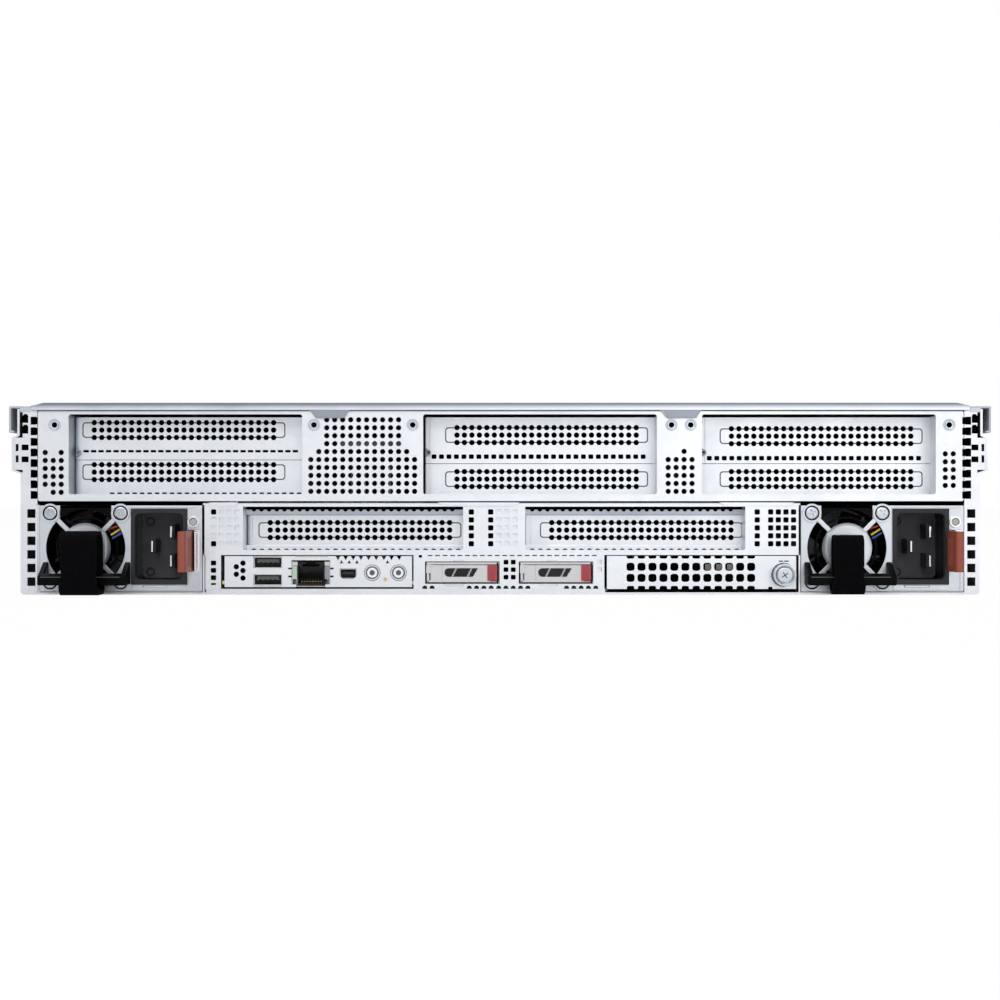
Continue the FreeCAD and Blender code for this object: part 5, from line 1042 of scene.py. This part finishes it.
def make_ports():
    """Stacked USB sockets, the network jack with its lamps, and the display socket."""
    shells, tongues = [], []
    for low in (4.2, 12.0):
        can = shell("can", (-111.4, -98.7), (0.2, 17), (low, low + 5.0), 0.35)
        shells.append(can)
        shells.append(block("back", (-111.3, -98.8), (16.2, 17), (low, low + 5.0)))
        tongue = block("tongue", (-110.2, -100.0), (1.4, 16.5), (low + 2.3, low + 4.1))
        cut(tongue, slots((-108.4, 2.2, 4), (low + 2.2, 1, 1), (0.9, 0.9), y=(0, 9)))
        dress(soften(tongue, 0.2, 2), slate_and_painted_light, "chassis", name=f"usb_tongue_{len(tongues) + 1}")
        tongues.append(block("floor", (-111.1, -99.0), (12, 16), (low + 0.4, low + 4.6)))
    shells += [block("jack_back", (-94.0, -77.1), (13, 14), (3.6, 16.4)),
               shell("jack_can", (-94.2, -76.9), (0.3, 17), (3.5, 16.6), 0.4),
               shell("display_can", (-72.4, -65.0), (0.2, 12), (7.2, 11.7), 0.3)]
    can = join(shells, "port_shells")
    dress(soften(can, 0.08, 1), port_tin, "chassis", "io_ports")
    jack = block("jack", (-91.6, -79.6), (0.5, 13.2), (4.1, 14.9))
    mouth = block("mouth", (-91.2, -80.0), (-2, 12), (5.0, 12.6))
    step = block("step", (-89.4, -81.8), (-2, 12), (12.0, 13.8))
    key = block("key", (-87.6, -83.6), (-2, 12), (13.0, 14.6))
    cut(jack, mouth)
    cut(jack, step)
    cut(jack, key)
    jack = soften(jack, 0.15, 2)
    shutter = block("shutter", (-91.0, -80.2), (4.6, 5.4), (7.4, 13.8))
    turned(shutter, -32, "X", (-85.6, 5, 7.4))
    display_core = block("core", (-71.4, -66.0), (0.9, 9), (9.0, 10.4))
    display_floor = block("display_floor", (-72.0, -65.4), (8, 9), (7.5, 11.4))
    blacks = join([jack, shutter, display_floor] + tongues, "port_insulators")
    dress(blacks, gloss_black, "chassis")
    dress(soften(display_core, 0.2, 2), charcoal, "chassis", name="display_socket_core")
    pins = block("pin", (-90.1, -89.8), (2.0, 10), (5.2, 5.7))
    repeat(pins, 8, (1.27, 0, 0))
    choose(pins, "face", facing(y=-1))
    bpy.ops.transform.translate(value=(0, 0, 0.35 * MM))
    rest()
    dress(pins, gilt, "chassis", slot_name="port_shell", name="network_jack_contacts")
    for name, x, paint in (("left", -94.0, lens_green), ("right", -79.4, lens_violet)):
        lens = block("lens", (x, x + 2.2), (0.0, 9), (6.9, 12.9))
        dress(soften(lens, 0.4, 3), paint, "chassis", slot_name="light_plastic",
              name=f"jack_lamp_{name}")
        cap = block("cap", (x, x + 2.4), (0.1, 3), (13.0, 14.9))
        dress(soften(cap, 0.2, 2), port_tin, "chassis", name=f"jack_corner_{name}")
    lamp = round_bar("panel_lamp", -51.9, (0.1, 3), 6.9, 0.8, 20, top=0.6)
    dress(smooth(lamp), gilt, "chassis", slot_name="light_plastic")
    for node, x in BUTTONS.items():
        cap = round_bar("cap", x, (-0.8, 1.3), BUTTON_Z, 2.3, 40)
        step_in(cap, (0.25, -0.12), (0.95, 0.35))
        stem = block("stem", span(x, 3), (1.35, 3.3), (6.9, 12.9))
        cap = soften(join([cap, stem], node + "_cap"), 0.12, 2)
        dress(cap, button_white, body_of[node], node)
        spot = round_bar(node + "_spot", x, (-0.75, -0.3), BUTTON_Z, 1.2, 24)
        dress(soften(spot, 0.1, 2), slate_and_painted_light, body_of[node])


def make_boot_bay():
    """Boot-drive panel: slit row, two bays, square vents and half-cut vents along its foot."""
    panel = block("panel", (-39.1, 47.2), (-0.4, 0.6), (2.6, 18.3))
    for left in BOOT_BAYS:
        cut(panel, block("bay", (left, left + 33.7), (-3, 4), (4.9, 15.0)))
        cut(panel, slots((left + 15.0, 1, 1), (15.3, 1, 1), (4.6, 0.55)))
        tab = block("tab", (left + 8.4, left + 18.0), (-3, 4), (3.6, 5.0))
        taper(tab, (0.86, 1, 1), z=-1)
        cut(panel, tab)
    cut(panel, slots((-31.6, 3.375, 23), (17.75, 1, 1), (2.1, 0.62)))
    cut(panel, holes((-36.0, 1, 1), (17.4, 1, 1), 0.8))
    cut(panel, slots((2.7, 3.3, 2), (7.9, 3.4, 3), (2.2, 2.1), radius=0.45))
    cut(panel, slots((45.1, 1, 1), (11.3, 3.35, 2), (2.0, 2.1), radius=0.5))
    for first, count in ((-34.0, 2), (-13.9, 4), (-0.6, 5), (30.1, 5)):
        cut(panel, holes((first, 3.3, count), (2.95, 1, 1), 1.15, sides=14))
    parts = [soften(panel, 0.16, 2, 30)]
    for left in BOOT_BAYS:
        parts.append(shell("bay", (left - 0.7, left + 34.4), (0.6, 96), (4.2, 15.7), 0.7))
    piece = join(parts, "boot_bay_sheet")
    dress(piece, zinc, "chassis", "boot_bay_panel")
    backs = [slots((45.1, 1, 1), (11.3, 3.35, 2), (2.4, 2.6), y=(1.2, 1.6)),
             block("tab", (-26.0, -15.4), (1.0, 1.6), (3.2, 4.6)),
             block("tab", (16.4, 27.0), (1.0, 1.6), (3.2, 4.6))]
    dress(join(backs, "boot_bay_backing"), zinc, "chassis")


def make_boot_drive(index, left):
    """Boot carrier face, its pivoting lever with an oval window, and the red release."""
    body, lever_body = f"boot_drive_{index}", f"boot_handle_{index}"
    key_body = f"boot_button_{index}"
    tray = carried(f"boot_carrier_{index}", "tray", 0.15)
    dress(tray, carrier_grey, body, f"boot_carrier_{index}", name=f"boot_carrier_{index}_shell")
    low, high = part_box(f"boot_lever_{index}")
    x0, x1 = low.x / MM, high.x / MM + LEVER_SHIFT
    z0, z1 = low.z / MM, high.z / MM
    y0, y1 = (low.y - REAR) / MM, (high.y - REAR) / MM
    lever = block("lever", (x0, x1), (y0, y1), (z0, z1))
    cut(lever, slots(((x0 + 5.2), 1, 1), ((z0 + z1) / 2, 1, 1), (0.25, z1 - z0 + 2),
                     y=(y0 - 1, y0 + 0.25)))
    window = block("window", (x0 + 6.3, x0 + 21.4), (y0 - 1, y0 + 0.5),
                   ((z0 + z1) / 2 - 1.7, (z0 + z1) / 2 + 2.1))
    round_along(window, "y", 1.8, 6, lambda at: at.x < (x0 + 8) * MM)
    choose(window, "corner",
           lambda corner: corner.co.x > (x0 + 21) * MM and corner.co.z < (z0 + z1) / 2 * MM)
    bpy.ops.transform.translate(value=(-2.3 * MM, 0, 0))
    rest()
    dark = twin(window, "dark")
    cut(lever, window)
    dress(soften(lever, 0.2, 2, 30), carrier_grey, lever_body, f"boot_lever_{index}",
          name=f"boot_lever_{index}_face")
    bars = []
    for at in (x0 + 7.9, x0 + 14.9):
        bar = block("bar", (at, at + 0.9), span(y0, 3), (z0 - 1, z1 + 1))
        choose(bar, "corner", lambda corner: corner.co.z > (z0 + z1) / 2 * MM)
        bpy.ops.transform.translate(value=(4.4 * MM, 0, 0))
        rest()
        bars.append(bar)
    cut(dark, *bars)
    pick(dark)
    bpy.ops.object.mode_set(mode="EDIT")
    bpy.ops.mesh.select_all(action="SELECT")
    bpy.ops.transform.resize(value=(0.985, 0.28, 0.97),
                             center_override=metres((x0 + 13.8), y0 + 0.2, (z0 + z1) / 2))
    rest()
    dress(smooth(dark), gloss_black, lever_body, name=f"boot_lever_{index}_window")
    low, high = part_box(f"boot_release_{index}")
    low.x, high.x = low.x + LEVER_SHIFT * MM, high.x + LEVER_SHIFT * MM
    key = block("key", (low.x / MM, high.x / MM), ((low.y - REAR) / MM, (high.y - REAR) / MM),
                (low.z / MM, high.z / MM))
    rib = slots(((low.x / MM + 0.9), 0.75, 4), ((low.z + high.z) / 2 / MM, 1, 1), (0.22, 20),
                y=((low.y - REAR) / MM - 1, (low.y - REAR) / MM + 0.15))
    cut(key, rib)
    dress(soften(key, 0.25, 2), red_plastic, key_body, f"boot_release_{index}",
          name=f"boot_release_{index}_key")
    pivot = [block("arm", (left + 0.5, left + 2.6), (-0.6, 0.8), (9.6, 13.4)),
             block("hook", (left + 1.2, left + 3.6), (-0.7, 0.4), (12.6, 13.5)),
             block("sill", (left + 0.9, left + 29.5), (-0.4, 0.4), (5.6, 6.5)),
             block("brow", (left + 0.9, left + 29.5), (-0.2, 0.4), (13.7, 14.4))]
    # Matt black strips round the carrier face: painted shade in its gaps.
    shades = [block("foot", (left + 0.4, left + 33.2), (-0.47, -0.38), (5.0, 5.6)),
              block("side", (left + 0.3, left + 0.8), (-0.47, -0.38), (5.0, 14.5)),
              block("side", (left + 32.4, left + 33.1), (-0.47, -0.38), (5.0, 14.5))]
    dress(join(shades, f"boot_carrier_{index}_gap_shades"), shade_black, body)
    frame_face = soften(join(pivot, f"boot_carrier_{index}_frame"), 0.2, 2)
    dress(frame_face, carrier_grey, body)


def make_network_card():
    """Network card: rounded-square grille, half-cut rows, captive screw and its seat."""
    panel = block("panel", (48.3, 134.0), (-0.3, 0.7), (2.5, 17.5))
    cut(panel, slots((59.05, 4.96, 12), (7.55, 5.02, 2), (3.6, 3.6), radius=1.15))
    cut(panel, slots((59.05, 4.96, 12), (17.3, 1, 1), (3.5, 2.0), radius=0.8))
    cut(panel, slots((59.05, 4.96, 12), (2.9, 1, 1), (3.3, 2.0), radius=0.8))
    cut(panel, slots((127.1, 2.5, 2), (15.1, 1, 1), (2.0, 0.5)))
    cut(panel, block("notch", (121.4, 123.2), (-3, 4), (2.0, 3.5)))
    cut(panel, round_bar("bore", SCREW_X, (-3, 4), SCREW_Z, 2.3, 32))
    soften(panel, 0.2, 2, 30)
    seat = round_bar("seat", SCREW_X, (-0.6, 0.2), SCREW_Z, 5.7, 48, top=5.3)
    cut(seat, round_bar("bore", SCREW_X, (-3, 4), SCREW_Z, 2.3, 32))
    piece = join([panel, soften(seat, 0.15, 2)], "network_panel_sheet")
    dress(piece, zinc, "network_card", "network_panel")
    shade = block("network_card_shade", (48.6, 133.8), (0.88, 0.98), (1.3, 17.3))
    cut(shade, round_bar("bore", SCREW_X, (-3, 4), SCREW_Z, 3.0, 32))
    dress(shade, shade_black, "network_card")
    # The cans behind the grille are dressed in dark metal as painted shade.
    cans = slots((94.2, 4.96, 3), (12.5, 1, 1), (2.6, 2.6), y=(0.74, 0.9))
    dress(soften(cans, 0.15, 2), shaded_can_metal, "network_card", name="network_card_cans")
    head = round_bar("head", SCREW_X, (-7, -1), SCREW_Z, 5.0, 64)
    step_in(head, (0.6, 0), (1.0, 0.9), (0.5, -0.35))
    teeth = block("tooth", span(SCREW_X, 0.12), (-6.2, -1.6), (13.85, 14.2))
    knurl = [teeth]
    for step in range(1, 36):
        knurl.append(turned(twin(teeth, "tooth"), step * 10, "Y", (SCREW_X, 0, SCREW_Z)))
    cut(head, *knurl)
    # Slate outline ring, step ring and cross on the thumbscrew's head: painted shade.
    outline = round_bar("outline", SCREW_X, (-1.3, -0.8), SCREW_Z, 5.4, 64)
    groove = ring("groove", SCREW_X, (-6.25, -6.05), SCREW_Z, 3.85, 3.5, 64, (-8, 0))
    shank = round_bar("shank", SCREW_X, (-1.2, 7), SCREW_Z, 1.9, 24)
    head = soften(join([head, shank], "thumbscrew_turned"), 0.12, 2, 40)
    dress(head, screw_steel, body_of["network_screw"], "network_screw")
    cross = []
    for angle in (35, 125):
        arm = block("arm", span(SCREW_X, 1.6), (-6.52, -6.4), span(SCREW_Z, 0.24))
        cross.append(turned(arm, angle, "Y", (SCREW_X, 0, SCREW_Z)))
    dress(smooth(join([outline, groove] + cross, "thumbscrew_shades")), slate_and_painted_light,
          body_of["network_screw"])


make_rear_wall()
make_slot_blanks()
make_lower_frame()
make_vent_strip()
make_io_panel()
make_ports()
make_boot_bay()
for index, left in enumerate(BOOT_BAYS, 1):
    make_boot_drive(index, left)
make_network_card()
for side, left in (("left", -208.3), ("right", 136.2)):
    make_supply_case(side, left)
    make_supply_fan(side, left)
    make_inlet(side, left)
    make_latch(side, left)
make_strap("left", -208.3, 14.4, 15.8, 28.4, 17.0, 6.6)
make_strap("right", 136.2, 12.4, 13.4, 26.6, 9.4, 3.6)


def make_lid_lip():
    """Rolled edge along the lid's rear with its lowered ends, and the tongues beside it."""
    lip = block("lid_rear_lip", (-212.0, 212.4), (-1.7, -1.0), (83.3, 86.7))
    for at in (-209.5, -206.5, 206.9, 209.9):
        pick(lip)
        bpy.ops.object.mode_set(mode="EDIT")
        bpy.ops.mesh.select_all(action="SELECT")
        bpy.ops.mesh.bisect(plane_co=metres(at, 0, 0), plane_no=(1, 0, 0))
        rest()
    for reach, drop in ((209.2, -0.75), (211.5, -0.55)):
        choose(lip, "corner",
               lambda corner: abs(corner.co.x) > reach * MM and corner.co.z > 84.5 * MM)
        bpy.ops.transform.translate(value=(0, 0, drop * MM))
        rest()
    dress(soften(lip, 0.3, 3, 50), lip_zinc_painted_light, body_of["top_cover"])
    tongues = []
    for left in (-217.6, 212.2):
        tongue = block("tongue", (left, left + 5.6), (-0.2, 0.2), (82.5, 85.2))
        taper(tongue, (0.8, 1, 1), z=-1)
        tongues.append(tongue)
    dress(soften(join(tongues, "lid_tongues"), 0.15, 2), shaded_zinc, body_of["top_cover"])
    # Dark trapezoids over the lid's centre tongues: painted shade.
    shade_overlays = []
    for left in (-85.5, 73.6):
        shade_overlay = block("shade_overlay", (left, left + 17.4), (-1.5, -1.2), (79.9, 83.4))
        taper(shade_overlay, (0.74, 1, 1), z=-1)
        shade_overlays.append(shade_overlay)
    dress(soften(join(shade_overlays, "lid_tongue_shades"), 0.12, 2), deep_shade_zinc, body_of["top_cover"])
    caps, pads = [], []
    for sign in (-1, 1):
        edges = sorted((sign * 220.3, sign * 215.4))
        cap = block("cap", edges, (0.3, 1.0), (56.4, 71.0))
        cut(cap, slots((sign * 218.6, 1, 1), (61.4, 5.1, 2), (1.2, 3.2)))
        caps.append(cap)
        pads.append(slots((sign * 210.75, 1, 1), (78.7, -4.81, 8), (3.1, 3.2), y=(-0.08, 0.02)))
        pads.append(slots((sign * 214.9, 1, 1), (79.4, -4.81, 2), (2.8, 3.4), y=(-0.08, 0.02)))
        pads.append(slots((sign * 214.9, 1, 1), (66.6, -5.4, 2), (3.1, 2.6), y=(-0.08, 0.02)))
    dress(soften(join(caps, "side_bead_caps"), 0.15, 2), zinc, "chassis")
    dress(join(pads, "column_window_shades"), shade_black, "chassis")


make_lid_lip()

SOFTENED = {
    "psu_handle_left": (black, 0.5), "psu_handle_right": (black, 0.5),
    "power_button": (pale_plastic, 0.4),
    "cover_latch": (black, 0.6), "top_cover": (lid_zinc, 0.5),
    "rack_ear_left": (black, 0.3), "rack_ear_right": (black, 0.3),
}
for index in (1, 2, 3, 4):
    SOFTENED[f"drive_lever_{index}"] = (lever_grey, 0.4)
    SOFTENED[f"drive_carrier_{index}"] = (black, 0.3)
for node, (material, width) in SOFTENED.items():
    dress(carried(node, node + "_finished", width), material, body_of[node], node)

KEPT = {
    "chassis_tray": zinc, "riser_cages": zinc, "fan_cage": black, "drive_cage": zinc,
    "drive_blanks": black,
    "riser_boards": board_green, "mainboard": board_green, "memory_modules": board_green,
    "network_board": board_green, "backplane": board_green, "processor_heatsinks": fin_aluminium,
    "air_shroud": black, "psu_fan_rotor_left": gloss_black, "psu_fan_rotor_right": gloss_black,
}
for index in (1, 2, 3, 4):
    KEPT[f"fan_rotor_{index}"] = black
for node, material in KEPT.items():
    mesh = frame["nodes"][node].data
    if not mesh.materials:
        mesh.materials.append(material)
    for place in range(len(mesh.materials)):
        mesh.materials[place] = material


# ---------------------------------------------------------------- studio

def make_studio():
    """Pale floor, even soft light and the camera square to the rear."""
    rest()
    bpy.ops.mesh.primitive_plane_add(size=14, location=(0, 3.0, -0.0005))
    floor = bpy.context.object
    floor.name = "studio_floor"
    paint = bpy.data.materials.new("floor_paint")
    paint.use_nodes = True
    nodes, links = paint.node_tree.nodes, paint.node_tree.links
    shader = nodes["Principled BSDF"]
    shader.inputs["Base Color"].default_value = (0.9, 0.9, 0.9, 1)
    shader.inputs["Roughness"].default_value = 0.9
    white = nodes.new("ShaderNodeEmission")
    white.inputs["Strength"].default_value = 1.0
    seen = nodes.new("ShaderNodeLightPath")
    mixed = nodes.new("ShaderNodeMixShader")
    share = nodes.new("ShaderNodeMath")
    share.operation = "MULTIPLY"
    share.inputs[1].default_value = 0.97
    links.new(seen.outputs["Is Camera Ray"], share.inputs[0])
    links.new(share.outputs[0], mixed.inputs[0])
    links.new(shader.outputs[0], mixed.inputs[1])
    links.new(white.outputs[0], mixed.inputs[2])
    links.new(mixed.outputs[0], nodes["Material Output"].inputs["Surface"])
    floor.data.materials.append(paint)

    world = bpy.data.worlds.new("studio_air")
    bpy.context.scene.world = world
    world.use_nodes = True
    air, wires = world.node_tree.nodes, world.node_tree.links
    glow = air["Background"]
    glow.inputs["Color"].default_value = (0.9, 0.92, 0.95, 1)
    glow.inputs["Strength"].default_value = 0.55
    plain = air.new("ShaderNodeBackground")
    plain.inputs["Color"].default_value = (1, 1, 1, 1)
    path = air.new("ShaderNodeLightPath")
    blend = air.new("ShaderNodeMixShader")
    direct = air.new("ShaderNodeMath")
    direct.operation = "MAXIMUM"
    wires.new(path.outputs["Is Camera Ray"], direct.inputs[0])
    wires.new(path.outputs["Is Transmission Ray"], direct.inputs[1])
    wires.new(direct.outputs[0], blend.inputs[0])
    wires.new(glow.outputs[0], blend.inputs[1])
    wires.new(plain.outputs[0], blend.inputs[2])
    wires.new(blend.outputs[0], air["World Output"].inputs["Surface"])

    lamps = (("key_lamp", (-0.5, -1.8, 1.3), 1.4, 14), ("fill_lamp", (0.7, -1.9, 0.35), 1.6, 9),
             ("top_lamp", (0, 0.1, 1.9), 1.8, 10))
    for name, place, size, power in lamps:
        rest()
        bpy.ops.object.light_add(type="AREA", location=place)
        lamp = bpy.context.object
        lamp.name = name
        lamp.data.size = size
        lamp.data.energy = power
        aim = Vector((0, REAR, 0.04)) - Vector(place)
        lamp.rotation_euler = aim.to_track_quat("-Z", "Y").to_euler()

    bpy.ops.object.camera_add(location=(0, REAR - 0.9, 0.0428), rotation=(math.pi / 2, 0, 0))
    camera = bpy.context.object
    camera.name = "rear_camera"
    camera.data.sensor_width = 36
    camera.data.lens = 71.6
    bpy.context.scene.camera = camera
    bpy.context.scene.view_settings.view_transform = "Standard"


make_studio()
